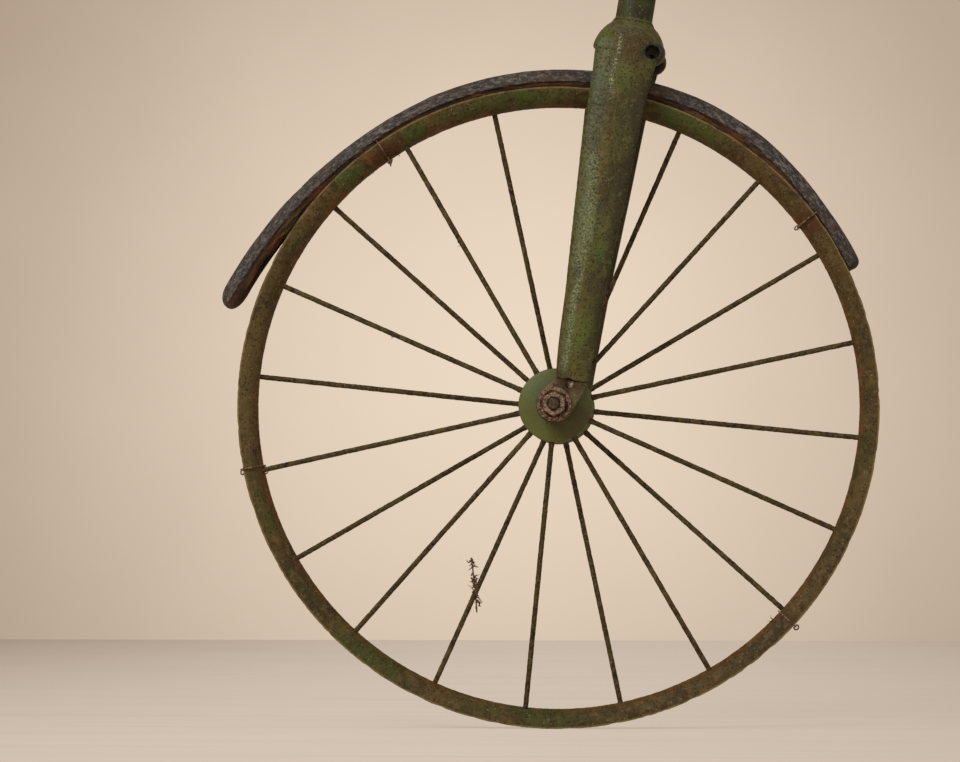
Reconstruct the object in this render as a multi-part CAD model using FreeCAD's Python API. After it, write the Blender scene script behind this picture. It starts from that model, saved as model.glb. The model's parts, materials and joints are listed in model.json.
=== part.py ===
import FreeCAD
import Part
import math
import os
from FreeCAD import Vector

# Rear wheel and fork of a high-wheel bicycle, millimetres, +Z up, +X towards the front wheel.
# The model is laid out about the wheel's centre, and is moved at the end so that its origin
# is the centre of the backbone stub's open end. The bicycle's right side is -Y.

# ---- wheel: driving dimensions ----
RIM_R = 216.5               # outer edge of the iron rim
RIM_DEPTH = 13.0            # edge to back of the crescent section
RIM_WIDTH = 21.5
RIM_LIP = 1.5               # wall at the rim's edge
RIM_LIP_CROWN = 0.3         # ridge of the edge above its two sides
GROOVE_DEPTH = 7.0

SPOKE_COUNT = 20            # alternately from the right and the left flange
SPOKE_R = 1.75
SPOKE_THREAD_STEP = 0.25    # thickened end, screwed into the flange, over the spoke
SPOKE_THREAD_LENGTH = 12.0
SPOKE_HEAD_STEP = 1.55      # countersunk head over the spoke
SPOKE_HEAD_DEPTH = 2.2
SPOKE_HEAD_SUNK = 0.25      # head's top below the bottom of the groove
SPOKE_STAGGER = 2.5         # rim holes stand off the centre line by this much
SPOKE_SEAT_IN_FLANGE = 9.0  # depth of the tapped hole
FIRST_SPOKE_ANGLE = 12.0    # degrees from +X towards +Z

HUB_FLANGE_R = 24.8
HUB_FLANGE_THICKNESS = 7.5
HUB_WIDTH = 47.0            # over the outer faces of both flanges
HUB_BARREL_WALL = 4.5       # barrel and boss over the axle
HUB_BOSS_WALL = 7.0
HUB_RIM_BEVEL = 1.6         # outer face falls by this much at the flange's edge
HUB_FACE_BULGE = 0.45       # and bellies by this much on its way
HUB_FILLET = 3.0            # flange to barrel

AXLE_R = 4.0
AXLE_END = 2.0              # axle stands out of the nut
AXLE_CHAMFER = 0.8
CUP_MOUTH_WALL = 4.0        # conical bearing cup in the hub's end, over the axle
CUP_FLOOR_WALL = 1.4
CUP_DEPTH = 4.0
CONE_COLLAR_WALL = 5.0
CONE_COLLAR_SETBACK = 0.8   # collar stands off the hub's face

# ---- named clearances ----
RUNNING_GAP = 0.05          # hub on axle, radial
CUP_GAP = 0.3               # cone in cup, along the axle
FIT_GAP = 0.05              # fixed pieces on the axle, spokes in their holes, radial
TIE_GAP = 0.05              # tie wire off the rim's back
FORK_END_GAP = 7.3          # fork end off the hub's face
RIVET_HEAD_GAP = 0.3        # notch in the blade's toe round the rivet's head
WHEEL_CLEARANCE = 5.15      # crown off the wheel's outermost point

# ---- tyre remnant and its ties ----
TYRE_R = 9.3                # weathered tread, half round
TYRE_BASE_OVER_GROOVE = 0.6 # narrower base: its radius over the groove's depth
TYRE_STEP = 93.0            # degrees from the crown of the tread down to its edge
TYRE_STEP_SLOPE = 8.0       # and on to the base
TYRE_FIRST_ANGLE = 26.0     # start of the first run, degrees from +X towards +Z
TYRE_FIRST_OVER_RIM = 0.8   # its middle beyond the rim's edge
TYRE_FIRST_MISS = 4.7233    # a square to it passes the axle at this distance
# Line of the tyre: each run's radius over the rim's, and the degrees that it turns. The runs are tangent:
# pulled down at the first tie, humped up, seated along the rim to the second tie, sprung off it.
TYRE_RUNS = [(86.1, 13.4), (-41.1, 19.6), (0.9, 60.0), (88.1, 28.8)]
TYRE_BUTT = 5.0             # square front end, its corner rounded over this length
TYRE_NOSE = 19.0            # tapered rear end
TYRE_NOSE_R = 6.3           # ball at its tip
TYRE_NOSE_TURN = 32.0       # degrees round the ball where the taper meets it
TYRE_NOSE_BULGE = 0.6
TYRE_END_SLACK = 0.1        # turned ends start this far outside the tread
TIE_ANGLES = [36.5, 124.0, 191.2, 317.2]  # the first two hold the tyre
TIE_WIRE_R = 0.6
TIE_ABOVE_RIM = 1.3         # tie wire's line above the rim's edge

# ---- fork: heights along the fork's own line, from the axle ----
FORK_LEAN = 9.45            # degrees forward
PLATE_THICKNESS = 5.0
PLATE_EYE_R = 12.3
PLATE_HEEL = 14.7           # height of the front corner
PLATE_HEEL_SETBACK = 0.4    # behind the toe's front
PLATE_UNDER = 248.2         # degrees round the eye, a point on its underside
TONGUE_WIDTH = 12.0
TONGUE_LENGTH = 16.0
TONGUE_THICKNESS = 3.4
RIVET_R = 2.2
RIVET_HEAD_R = 3.2
RIVET_HEAD_HEIGHT = 1.6
RIVET_HEIGHT = 15.0
RIVET_FORWARD = 7.5
WASHER_R = 11.6
WASHER_THICKNESS = 2.0
NUT_ACROSS_FLATS = 14.6
NUT_THICKNESS = 6.7
NUT_CHAMFER = 1.2

BLADE_TOE = 17.5            # height of the blade's lower end
BLADE_TOP_Y = 25.0          # blade's middle at the crown
CROWN_CENTRE = 8.8          # crown's and neck's middle, forward of the axle
# Blade sections from the toe to the crown: share of the height, centre forward of the axle, half width,
# share of the way in from the fork end to the crown, half thickness.
BLADE_SECTIONS = [
    (0.0, 9.2, 10.9, 0.0, 4.2),
    (0.062, 8.45, 11.95, 0.048, 4.5),
    (0.424, 7.85, 14.85, 0.398, 5.7),
    (0.782, 7.5, 18.85, 0.771, 6.4),
    (0.916, 8.15, 19.95, 0.916, 6.6),
    (1.0, CROWN_CENTRE, 21.5, 1.0, 6.7),
]

CROWN_OVER_TYRE = 0.2       # crown's base over the tyre's reach
CROWN_FOOT_R = 21.0         # at the base
CROWN_R = 24.6              # widest
CROWN_LIP = 5.6             # height of the widest above the base
CROWN_LIP_BULGE = 0.9
CROWN_DOME = 21.5           # base to the top of the dome
CROWN_DOME_BULGE = 1.5
CROWN_TOP_R = 17.0
CROWN_FLARE = 3.5           # dome's top to the foot of the neck
CROWN_FLARE_HOLLOW = 0.5
# Shoulder sections over the blade's top: height above the crown's base, half width, centre off the
# middle, half thickness.
SHOULDER_SECTIONS = [
    (5.5, 22.4, 24.4, 6.9),
    (12.5, 19.0, 20.6, 7.2),
    (19.5, 10.5, 11.0, 6.0),
]
CROTCH_WIDTH = 34.0
LUG_R = 8.7                 # ball at the front of each shoulder
LUG_Y = 20.3                # its middle off the wheel's
LUG_HOLE_R = 4.7
LUG_FORWARD = 17.2          # ahead of the crown's middle
LUG_HEIGHT = 3.3            # above the crown's base
LUG_HOLE_WALL = 0.5         # blind floor, off the crotch

NECK_R = 12.6
NECK_WALL = 1.6
NECK_LENGTH = 58.0
BRAZE_HEIGHT = 4.0
BRAZE_WIDTH = 1.5
BRAZE_HOLLOW = 0.5

# ---- worked out from the above ----
GROOVE_R = RIM_R - GROOVE_DEPTH
RIM_BACK_R = RIM_R - RIM_DEPTH
SPOKE_THREAD_R = SPOKE_R + SPOKE_THREAD_STEP
SPOKE_HEAD_R = SPOKE_R + SPOKE_HEAD_STEP
SPOKE_FOOT_R = HUB_FLANGE_R - SPOKE_SEAT_IN_FLANGE
SPOKE_TOP_R = GROOVE_R - SPOKE_HEAD_SUNK
HALF_HUB = HUB_WIDTH / 2
FLANGE_Y = HALF_HUB - HUB_FLANGE_THICKNESS / 2
HUB_BARREL_R = AXLE_R + HUB_BARREL_WALL
HUB_BOSS_R = AXLE_R + HUB_BOSS_WALL
CUP_MOUTH_R = AXLE_R + CUP_MOUTH_WALL
CUP_FLOOR_R = AXLE_R + CUP_FLOOR_WALL
CONE_COLLAR_R = AXLE_R + CONE_COLLAR_WALL
PLATE_INNER_Y = HALF_HUB + FORK_END_GAP
PLATE_MIDDLE_Y = PLATE_INNER_Y + PLATE_THICKNESS / 2
PLATE_OUTER_Y = PLATE_INNER_Y + PLATE_THICKNESS
WASHER_OUTER_Y = PLATE_OUTER_Y + WASHER_THICKNESS
NUT_OUTER_Y = WASHER_OUTER_Y + NUT_THICKNESS
AXLE_HALF = NUT_OUTER_Y + AXLE_END
TYRE_FIRST_TOE = math.degrees(TYRE_FIRST_MISS / RIM_R)  # degrees that it leans in towards the first tie
TYRE_BASE_R = GROOVE_DEPTH + TYRE_BASE_OVER_GROOVE
TYRE_SIDE_R = TYRE_R + TYRE_END_SLACK

REACH_POINTS = 60           # points tried along the tail

ORIGIN = Vector(0, 0, 0)
X_AXIS = Vector(1, 0, 0)
Y_AXIS = Vector(0, 1, 0)
Z_AXIS = Vector(0, 0, 1)


def face_of(edges):
    """Plane face inside a closed loop of edges."""
    return Part.Face(Part.Wire(Part.__sortEdges__(edges)))


def line(a, b):
    return Part.LineSegment(a, b).toShape()


def arc(a, through, b):
    return Part.Arc(a, through, b).toShape()


def bulged(a, b, bulge, plane_normal):
    """Arc from a to b, its middle off the chord towards plane_normal x (b - a)."""
    side = plane_normal.cross(b - a).normalize()
    return arc(a, (a + b) * 0.5 + side * bulge, b)


def polyline(points):
    """Open chain of straight edges."""
    return [line(a, b) for a, b in zip(points, points[1:])]


def turned_outline(points):
    """Closed outline of (radius, y) turned about the axle."""
    vectors = [Vector(r, y, 0) for r, y in points]
    return turned(face_of(polyline(vectors + vectors[:1])))


def chamfered_bar(radius, half_length, chamfer):
    """Round bar along the axle's direction, both ends chamfered."""
    return turned_outline([
        (0, -half_length), (radius - chamfer, -half_length), (radius, -half_length + chamfer),
        (radius, half_length - chamfer), (radius - chamfer, half_length), (0, half_length),
    ])


def turned(face, centre=ORIGIN, axis=Y_AXIS, degrees=360.0):
    return face.revolve(centre, axis, degrees)


def at_angle(shape, degrees):
    """Copy of a shape modelled on the +X radius, moved round the wheel from +X towards +Z."""
    copy = shape.copy()
    copy.rotate(ORIGIN, Y_AXIS, -degrees)
    return copy


def leaned(shape):
    """Copy of a shape modelled on an upright fork, leaned forward about the axle."""
    copy = shape.copy()
    copy.rotate(ORIGIN, Y_AXIS, FORK_LEAN)
    return copy


def mirrored(shape):
    """The same shape on the other side of the wheel."""
    return shape.mirror(ORIGIN, Y_AXIS)


def tube(inner_r, outer_r, y_low, y_high):
    """Ring about the axle between two faces."""
    height = y_high - y_low
    foot = Vector(0, y_low, 0)
    outer = Part.makeCylinder(outer_r, height, foot, Y_AXIS)
    return outer.cut(Part.makeCylinder(inner_r, height, foot, Y_AXIS))


# ---- wheel ----
def spoke_line():
    """Foot of a spoke and its direction, on the +X radius and the +Y side."""
    foot = Vector(SPOKE_FOOT_R, FLANGE_Y, 0)
    top = Vector(SPOKE_TOP_R, SPOKE_STAGGER, 0)
    return foot, top - foot


def along_spoke(profile):
    """Turn a profile of (radius, distance from the foot) about the spoke's line."""
    points = [Vector(radius, 0, distance) for radius, distance in profile]
    solid = face_of(polyline(points + points[:1])).revolve(ORIGIN, Z_AXIS, 360)
    foot, direction = spoke_line()
    solid.Placement = FreeCAD.Placement(foot, FreeCAD.Rotation(Z_AXIS, direction))
    return solid


def spoke():
    length = spoke_line()[1].Length
    neck = length - SPOKE_HEAD_DEPTH
    taper = SPOKE_THREAD_LENGTH + SPOKE_THREAD_R
    return along_spoke([
        (0, 0), (SPOKE_THREAD_R, 0), (SPOKE_THREAD_R, SPOKE_THREAD_LENGTH), (SPOKE_R, taper),
        (SPOKE_R, neck), (SPOKE_HEAD_R, length), (0, length),
    ])


def spoke_hole_in_rim():
    """Clearance hole with the head's own countersink, open to the groove."""
    length = spoke_line()[1].Length
    neck = length - SPOKE_HEAD_DEPTH
    hole_r = SPOKE_R + FIT_GAP
    flare = neck + FIT_GAP * SPOKE_HEAD_DEPTH / (SPOKE_HEAD_R - SPOKE_R)
    return along_spoke([
        (0, length - 2 * RIM_DEPTH), (hole_r, length - 2 * RIM_DEPTH), (hole_r, flare),
        (SPOKE_HEAD_R, length), (SPOKE_HEAD_R, length + GROOVE_DEPTH / 2), (0, length + GROOVE_DEPTH / 2),
    ])


def spoke_hole_in_flange():
    hole_r = SPOKE_THREAD_R + FIT_GAP
    return along_spoke([(0, 0), (hole_r, 0), (hole_r, 2 * SPOKE_THREAD_LENGTH), (0, 2 * SPOKE_THREAD_LENGTH)])


def round_the_wheel(right_piece, left_piece):
    """A piece for every spoke: even ones on the right flange, odd ones on the left."""
    right, left = [], []
    for index in range(SPOKE_COUNT):
        degrees = FIRST_SPOKE_ANGLE + index * 360 / SPOKE_COUNT
        if index % 2 == 0:
            right.append(at_angle(right_piece, degrees))
        else:
            left.append(at_angle(left_piece, degrees))
    return right, left


def rim():
    """Crescent-section iron rim, its groove outwards, with a countersunk hole for each spoke."""
    half = RIM_WIDTH / 2
    lip = half - RIM_LIP
    ridge = half - RIM_LIP / 2
    edge = RIM_R - RIM_LIP_CROWN
    outline = [
        arc(Vector(edge, half, 0), Vector(RIM_BACK_R, 0, 0), Vector(edge, -half, 0)),
        arc(Vector(edge, -lip, 0), Vector(GROOVE_R, 0, 0), Vector(edge, lip, 0)),
    ]
    for side in (1, -1):
        outline += polyline([Vector(edge, side * half, 0), Vector(RIM_R, side * ridge, 0),
                             Vector(edge, side * lip, 0)])
    hole = spoke_hole_in_rim()
    right, left = round_the_wheel(mirrored(hole), hole)
    return turned(face_of(outline)).cut(Part.makeCompound(right + left))


def hub():
    """One casting: two flanges on a waisted barrel, a conical cup in each end, tapped edge holes."""
    inner = HALF_HUB - HUB_FLANGE_THICKNESS
    edge_inner = inner + HUB_RIM_BEVEL / 2
    edge_outer = HALF_HUB - HUB_RIM_BEVEL
    shoulder_r = HUB_FLANGE_R - HUB_RIM_BEVEL
    bore_r = AXLE_R + RUNNING_GAP
    half_outline = [
        (bore_r, 0), (bore_r, HALF_HUB - CUP_DEPTH), (CUP_FLOOR_R, HALF_HUB - CUP_DEPTH),
        (CUP_MOUTH_R, HALF_HUB), (HUB_BOSS_R, HALF_HUB),
    ]
    flange_rim = [(HUB_FLANGE_R, edge_outer), (HUB_FLANGE_R, edge_inner), (shoulder_r, inner),
                  (HUB_BARREL_R + HUB_FILLET, inner)]
    bend = HUB_FILLET * (1 - math.sqrt(0.5))
    edges = polyline([Vector(r, y, 0) for r, y in half_outline])
    edges.append(bulged(Vector(HUB_BOSS_R, HALF_HUB, 0), Vector(HUB_FLANGE_R, edge_outer, 0),
                        HUB_FACE_BULGE, Z_AXIS))
    edges += polyline([Vector(r, y, 0) for r, y in flange_rim])
    edges.append(arc(Vector(HUB_BARREL_R + HUB_FILLET, inner, 0),
                     Vector(HUB_BARREL_R + bend, inner - bend, 0),
                     Vector(HUB_BARREL_R, inner - HUB_FILLET, 0)))
    edges += polyline([Vector(HUB_BARREL_R, inner - HUB_FILLET, 0), Vector(HUB_BARREL_R, 0, 0),
                       Vector(bore_r, 0, 0)])
    half = turned(face_of(edges))
    hole = spoke_hole_in_flange()
    right, left = round_the_wheel(mirrored(hole), hole)
    return half.fuse(mirrored(half)).removeSplitter().cut(Part.makeCompound(right + left))


def tyre_section(spine_r):
    """Section of the perished tyre on the +X radius: tread above, narrower base below a small step."""
    def on(radius, degrees):
        turn = math.radians(degrees)
        return Vector(spine_r + radius * math.cos(turn), radius * math.sin(turn), 0)

    base_step = TYRE_STEP + TYRE_STEP_SLOPE
    return face_of([
        arc(on(TYRE_R, -TYRE_STEP), on(TYRE_R, 0), on(TYRE_R, TYRE_STEP)),
        line(on(TYRE_R, TYRE_STEP), on(TYRE_BASE_R, base_step)),
        arc(on(TYRE_BASE_R, base_step), on(TYRE_BASE_R, 180), on(TYRE_BASE_R, -base_step)),
        line(on(TYRE_BASE_R, -base_step), on(TYRE_R, -TYRE_STEP)),
    ])


def radial(degrees):
    turn = math.radians(degrees)
    return Vector(math.cos(turn), 0, math.sin(turn))


def tyre_runs():
    """Centre, radius, start angle and turn of each run of the tyre's line."""
    angle = TYRE_FIRST_ANGLE + TYRE_FIRST_TOE
    point = radial(TYRE_FIRST_ANGLE) * (RIM_R + TYRE_FIRST_OVER_RIM)
    runs = []
    for over_rim, turn in TYRE_RUNS:
        run_r = RIM_R + over_rim
        centre = point - radial(angle) * run_r
        runs.append((centre, run_r, angle, turn))
        angle += turn
        point = centre + radial(angle) * run_r
    return runs


def at_tail(shape):
    """Move a shape that rises from the +X radius of the last run to that run's end."""
    centre, _, angle, turn = tyre_runs()[-1]
    placed = at_angle(shape, angle + turn)
    placed.translate(centre)
    return placed


def nose_flank():
    """Taper of the tyre's rear end, rising from the last run's +X radius, and the middle of its ball."""
    run_r = tyre_runs()[-1][1]
    ball = Vector(run_r, 0, TYRE_NOSE - TYRE_NOSE_R)
    cheek = ball + radial(TYRE_NOSE_TURN) * TYRE_NOSE_R
    return bulged(Vector(run_r + TYRE_SIDE_R, 0, 0), cheek, TYRE_NOSE_BULGE, Y_AXIS), ball, cheek


def tyre_reach():
    """Farthest that the sprung tail stands from the wheel's centre."""
    return max(point.Length for point in at_tail(nose_flank()[0]).discretize(REACH_POINTS))


def turned_end(run_r, outline, length):
    """Straight end of the tyre, rising from a run's +X radius, kept inside a turned outline."""
    envelope = face_of(outline).revolve(X_AXIS * run_r, Z_AXIS, 360)
    return envelope.common(tyre_section(run_r).extrude(Z_AXIS * length))


def tyre_nose():
    """Tapered round end of the tyre's tail."""
    run_r = tyre_runs()[-1][1]
    flank, ball, cheek = nose_flank()
    tip = ball + Z_AXIS * TYRE_NOSE_R
    round_tip = arc(cheek, ball + radial((TYRE_NOSE_TURN + 90) / 2) * TYRE_NOSE_R, tip)
    sides = polyline([tip, X_AXIS * run_r, X_AXIS * (run_r + TYRE_SIDE_R)])
    return at_tail(turned_end(run_r, [flank, round_tip] + sides, TYRE_NOSE))


def tyre_butt():
    """Square front end of the tyre, its outer corner rounded."""
    centre, run_r, angle, _ = tyre_runs()[0]
    corner = Vector(run_r + TYRE_SIDE_R - TYRE_BUTT, 0, 0)
    side = corner + X_AXIS * TYRE_BUTT
    end = corner + Z_AXIS * TYRE_BUTT
    outline = [arc(side, corner + radial(45) * TYRE_BUTT, end)]
    outline += polyline([end, Vector(run_r, 0, TYRE_BUTT), X_AXIS * run_r, side])
    butt = at_angle(turned_end(run_r, outline, TYRE_BUTT).mirror(ORIGIN, Z_AXIS), angle)
    butt.translate(centre)
    return butt


def tyre_remnant():
    """What is left of the solid tyre: a stretch held by two ties, and a tail sprung off the rim."""
    pieces = [tyre_butt()]
    for centre, run_r, angle, turn in tyre_runs():
        run = at_angle(turned(tyre_section(run_r), degrees=-turn), angle)
        run.translate(centre)
        pieces.append(run)
    pieces.append(tyre_nose())
    holes = [at_angle(tie_chord(TIE_WIRE_R + FIT_GAP), degrees) for degrees in TIE_ANGLES[:2]]
    return pieces[0].fuse(pieces[1:]).removeSplitter().cut(Part.makeCompound(holes))


def tie_arc():
    """Centre and radius of the tie wire's arc round the rim's back, on the +X radius."""
    half = RIM_WIDTH / 2
    depth = RIM_DEPTH - RIM_LIP_CROWN
    back_arc_r = (half * half + depth * depth) / (2 * depth)
    return RIM_BACK_R + back_arc_r, back_arc_r + TIE_GAP + TIE_WIRE_R


def tie_chord(wire_r):
    """The straight of a tie, across the groove and through the tyre where there is one."""
    centre_r, arc_r = tie_arc()
    chord_r = RIM_R + TIE_ABOVE_RIM
    half = math.sqrt(arc_r ** 2 - (chord_r - centre_r) ** 2)
    return Part.makeCylinder(wire_r, 2 * half, Vector(chord_r, -half, 0), Y_AXIS)


def tie_wire():
    """Soft iron wire round the rim's back and straight across above its edges."""
    centre_r, arc_r = tie_arc()
    chord_r = RIM_R + TIE_ABOVE_RIM
    half = math.sqrt(arc_r ** 2 - (chord_r - centre_r) ** 2)
    open_angle = math.degrees(math.atan2(half, chord_r - centre_r))
    section = Part.Face(Part.Wire(Part.makeCircle(TIE_WIRE_R, Vector(arc_r, 0, 0), Y_AXIS)))
    loop = section.revolve(ORIGIN, Z_AXIS, 360 - 2 * open_angle)
    loop.rotate(ORIGIN, Z_AXIS, open_angle)
    loop.translate(X_AXIS * centre_r)
    corners = [Part.makeSphere(TIE_WIRE_R, Vector(chord_r, y, 0)) for y in (-half, half)]
    return loop.fuse([tie_chord(TIE_WIRE_R)] + corners)


# ---- fork ----
def oval(height, centre_x, half_width, centre_y, half_thickness):
    """Level ellipse, longer along X."""
    ellipse = Part.Ellipse(Vector(centre_x, centre_y, height), half_width, half_thickness)
    return Part.Wire(ellipse.toShape())


def crown_base():
    """Height of the crown's base, which clears the tyre."""
    return tyre_reach() + CROWN_OVER_TYRE


def neck_foot():
    return crown_base() + CROWN_DOME + CROWN_FLARE


def blade_sections():
    """Height, centre forward, half width, centre off the middle and half thickness of each section."""
    rise = crown_base() - BLADE_TOE
    lean_in = BLADE_TOP_Y - PLATE_MIDDLE_Y
    return [(BLADE_TOE + up * rise, forward, half_width, PLATE_MIDDLE_Y + inward * lean_in, half_thickness)
            for up, forward, half_width, inward, half_thickness in BLADE_SECTIONS]


def blade():
    """Left fork blade: an oval tube, widening to the crown and flattened at its toe."""
    solid = Part.makeLoft([oval(*section) for section in blade_sections()], True)
    notch = Part.makeCylinder(RIVET_HEAD_R + RIVET_HEAD_GAP, AXLE_HALF,
                              Vector(RIVET_FORWARD, 0, RIVET_HEIGHT), Y_AXIS)
    return leaned(solid.cut([tongue(), notch, lug_ball(), lug_hole()]))


def tongue():
    """Upper end of the fork end's plate, let into the blade's toe."""
    toe, centre_x, _, centre_y, _ = blade_sections()[0]
    half = TONGUE_WIDTH / 2
    left, right = centre_x - half, centre_x + half
    y = centre_y - TONGUE_THICKNESS / 2
    top = toe + TONGUE_LENGTH - half
    outline = polyline([Vector(left, y, top), Vector(left, y, toe), Vector(right, y, toe), Vector(right, y, top)])
    outline.append(arc(Vector(right, y, top), Vector(centre_x, y, top + half), Vector(left, y, top)))
    return face_of(outline).extrude(Y_AXIS * TONGUE_THICKNESS)


def tangent_point(x, z, radius, side):
    """Where a line from (x, z) touches a circle about the axle; side is +1 or -1."""
    angle = math.atan2(z, x) + side * math.acos(radius / math.hypot(x, z))
    return Vector(radius * math.cos(angle), 0, radius * math.sin(angle))


def fork_end():
    """Left fork end: a plate round the axle, its front edge sweeping up to the blade's toe."""
    toe, centre_x, half_width, _, _ = blade_sections()[0]
    rear = Vector(centre_x - half_width, 0, toe)
    front = Vector(centre_x + half_width, 0, toe)
    heel = Vector(centre_x + half_width - PLATE_HEEL_SETBACK, 0, PLATE_HEEL)
    rear_touch = tangent_point(rear.x, rear.z, PLATE_EYE_R, 1)
    front_touch = tangent_point(heel.x, heel.z, PLATE_EYE_R, -1)
    outline = polyline([rear_touch, rear, front, heel, front_touch])
    outline.append(arc(front_touch, radial(PLATE_UNDER) * PLATE_EYE_R, rear_touch))
    plate = face_of(outline).extrude(Y_AXIS * PLATE_THICKNESS)
    plate.translate(Y_AXIS * PLATE_INNER_Y)
    plate = plate.fuse(tongue()).cut(tube_hole(AXLE_R + FIT_GAP))
    rivet_hole = Part.makeCylinder(RIVET_R + FIT_GAP, PLATE_THICKNESS,
                                   Vector(RIVET_FORWARD, PLATE_INNER_Y, RIVET_HEIGHT), Y_AXIS)
    return leaned(plate.cut(rivet_hole))


def tube_hole(radius):
    """Cutter through everything on one side of the wheel, along the axle."""
    return Part.makeCylinder(radius, AXLE_HALF, ORIGIN, Y_AXIS)


def rivet():
    """Left foot rivet: shank through the plate, a domed head on both faces."""
    half = PLATE_THICKNESS / 2
    ball_r = (RIVET_HEAD_R ** 2 + RIVET_HEAD_HEIGHT ** 2) / (2 * RIVET_HEAD_HEIGHT)
    middle = math.asin(RIVET_HEAD_R / ball_r) / 2
    dome = half + RIVET_HEAD_HEIGHT
    cheek = Vector(ball_r * math.sin(middle), dome - ball_r * (1 - math.cos(middle)), 0)
    head = arc(Vector(RIVET_HEAD_R, half, 0), cheek, Vector(0, dome, 0))
    stepped = [(RIVET_HEAD_R, half), (RIVET_R, half), (RIVET_R, -half), (RIVET_HEAD_R, -half)]
    outline = polyline([Vector(r, y, 0) for r, y in stepped])
    outline += [head, mirrored(head), line(Vector(0, dome, 0), Vector(0, -dome, 0))]
    solid = turned(face_of(outline))
    solid.translate(Vector(RIVET_FORWARD, PLATE_MIDDLE_Y, RIVET_HEIGHT))
    return leaned(solid)


def lug_middle(y):
    return Vector(CROWN_CENTRE + LUG_FORWARD, y, crown_base() + LUG_HEIGHT)


def lug_ball():
    """Left lug, a ball that swells from the front of the shoulder and the blade's top."""
    return Part.makeSphere(LUG_R, lug_middle(LUG_Y), Y_AXIS)


def lug_hole():
    """Blind hole in the left lug, from its floor outwards."""
    return Part.makeCylinder(LUG_HOLE_R, LUG_Y, lug_middle(CROTCH_WIDTH / 2 + LUG_HOLE_WALL), Y_AXIS)


def crown():
    """Domed crown, a shoulder over each blade, arched out over the wheel, a lug with a blind hole each side."""
    foot = Vector(CROWN_FOOT_R, 0, 0)
    widest = Vector(CROWN_R, 0, CROWN_LIP)
    dome_top = Vector(CROWN_TOP_R, 0, CROWN_DOME)
    neck = Vector(NECK_R + BRAZE_WIDTH, 0, CROWN_DOME + CROWN_FLARE)
    outline = [
        bulged(foot, widest, CROWN_LIP_BULGE, Y_AXIS),
        bulged(widest, dome_top, CROWN_DOME_BULGE, Y_AXIS),
        bulged(dome_top, neck, -CROWN_FLARE_HOLLOW, Y_AXIS),
    ]
    outline += polyline([neck, Vector(0, 0, neck.z), ORIGIN, foot])
    dome = face_of(outline).revolve(ORIGIN, Z_AXIS, 360)
    _, _, top_width, top_y, top_thickness = blade_sections()[-1]
    shoulder = Part.makeLoft([oval(height, 0, half_width, centre_y, half_thickness)
                              for height, half_width, centre_y, half_thickness
                              in [(0.0, top_width, top_y, top_thickness)] + SHOULDER_SECTIONS], True)
    solid = dome.fuse([shoulder, mirrored(shoulder)])
    solid.translate(Vector(CROWN_CENTRE, 0, crown_base()))
    solid = solid.fuse([lug_ball(), mirrored(lug_ball())])
    crotch = Part.makeCylinder(tyre_reach() + WHEEL_CLEARANCE, CROTCH_WIDTH,
                               Vector(0, -CROTCH_WIDTH / 2, 0), Y_AXIS)
    return leaned(solid.cut([crotch, lug_hole(), mirrored(lug_hole())]))


def backbone_stub():
    """Lower end of the backbone, a plain tube cut square above the crown."""
    foot = Vector(CROWN_CENTRE, 0, neck_foot())
    outer = Part.makeCylinder(NECK_R, NECK_LENGTH, foot)
    return leaned(outer.cut(Part.makeCylinder(NECK_R - NECK_WALL, NECK_LENGTH, foot)))


def neck_braze():
    """Fillet of braze round the foot of the backbone."""
    corner = Vector(NECK_R, 0, 0)
    outer = corner + X_AXIS * BRAZE_WIDTH
    top = corner + Z_AXIS * BRAZE_HEIGHT
    outline = [bulged(outer, top, -BRAZE_HOLLOW, Y_AXIS)] + polyline([top, corner, outer])
    ring = face_of(outline).revolve(ORIGIN, Z_AXIS, 360)
    ring.translate(Vector(CROWN_CENTRE, 0, neck_foot()))
    return leaned(ring)


def axle():
    return chamfered_bar(AXLE_R, AXLE_HALF, AXLE_CHAMFER)


def cone():
    """Left bearing cone: its nose runs in the hub's cup, and its collar spaces the fork end."""
    bore = AXLE_R + FIT_GAP
    nose_y = HALF_HUB - CUP_DEPTH + CUP_GAP
    mouth_y = HALF_HUB + CUP_GAP
    collar_y = HALF_HUB + CONE_COLLAR_SETBACK
    return turned_outline([
        (bore, nose_y), (CUP_FLOOR_R, nose_y), (CUP_MOUTH_R, mouth_y), (CUP_MOUTH_R, collar_y),
        (CONE_COLLAR_R, collar_y), (CONE_COLLAR_R, PLATE_INNER_Y), (bore, PLATE_INNER_Y),
    ])


def nut():
    """Left axle nut, a hexagon with its outer corners turned off."""
    corner_r = NUT_ACROSS_FLATS / 2 / math.cos(math.radians(30))
    corners = [radial(30 + 60 * index) * corner_r + Y_AXIS * WASHER_OUTER_Y for index in range(7)]
    hexagon = face_of(polyline(corners)).extrude(Y_AXIS * NUT_THICKNESS)
    turned_r = corner_r - NUT_CHAMFER
    envelope = turned_outline([
        (0, WASHER_OUTER_Y), (corner_r, WASHER_OUTER_Y), (corner_r, NUT_OUTER_Y - NUT_CHAMFER),
        (turned_r, NUT_OUTER_Y), (0, NUT_OUTER_Y),
    ])
    return hexagon.common(envelope).cut(tube_hole(AXLE_R + FIT_GAP))


def washer():
    return tube(AXLE_R + FIT_GAP, WASHER_R, PLATE_OUTER_Y, WASHER_OUTER_Y)


def origin_point():
    """Centre of the backbone stub's open end, which becomes the part's origin."""
    return leaned(Part.Vertex(CROWN_CENTRE, 0, neck_foot() + NECK_LENGTH)).Point


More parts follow.
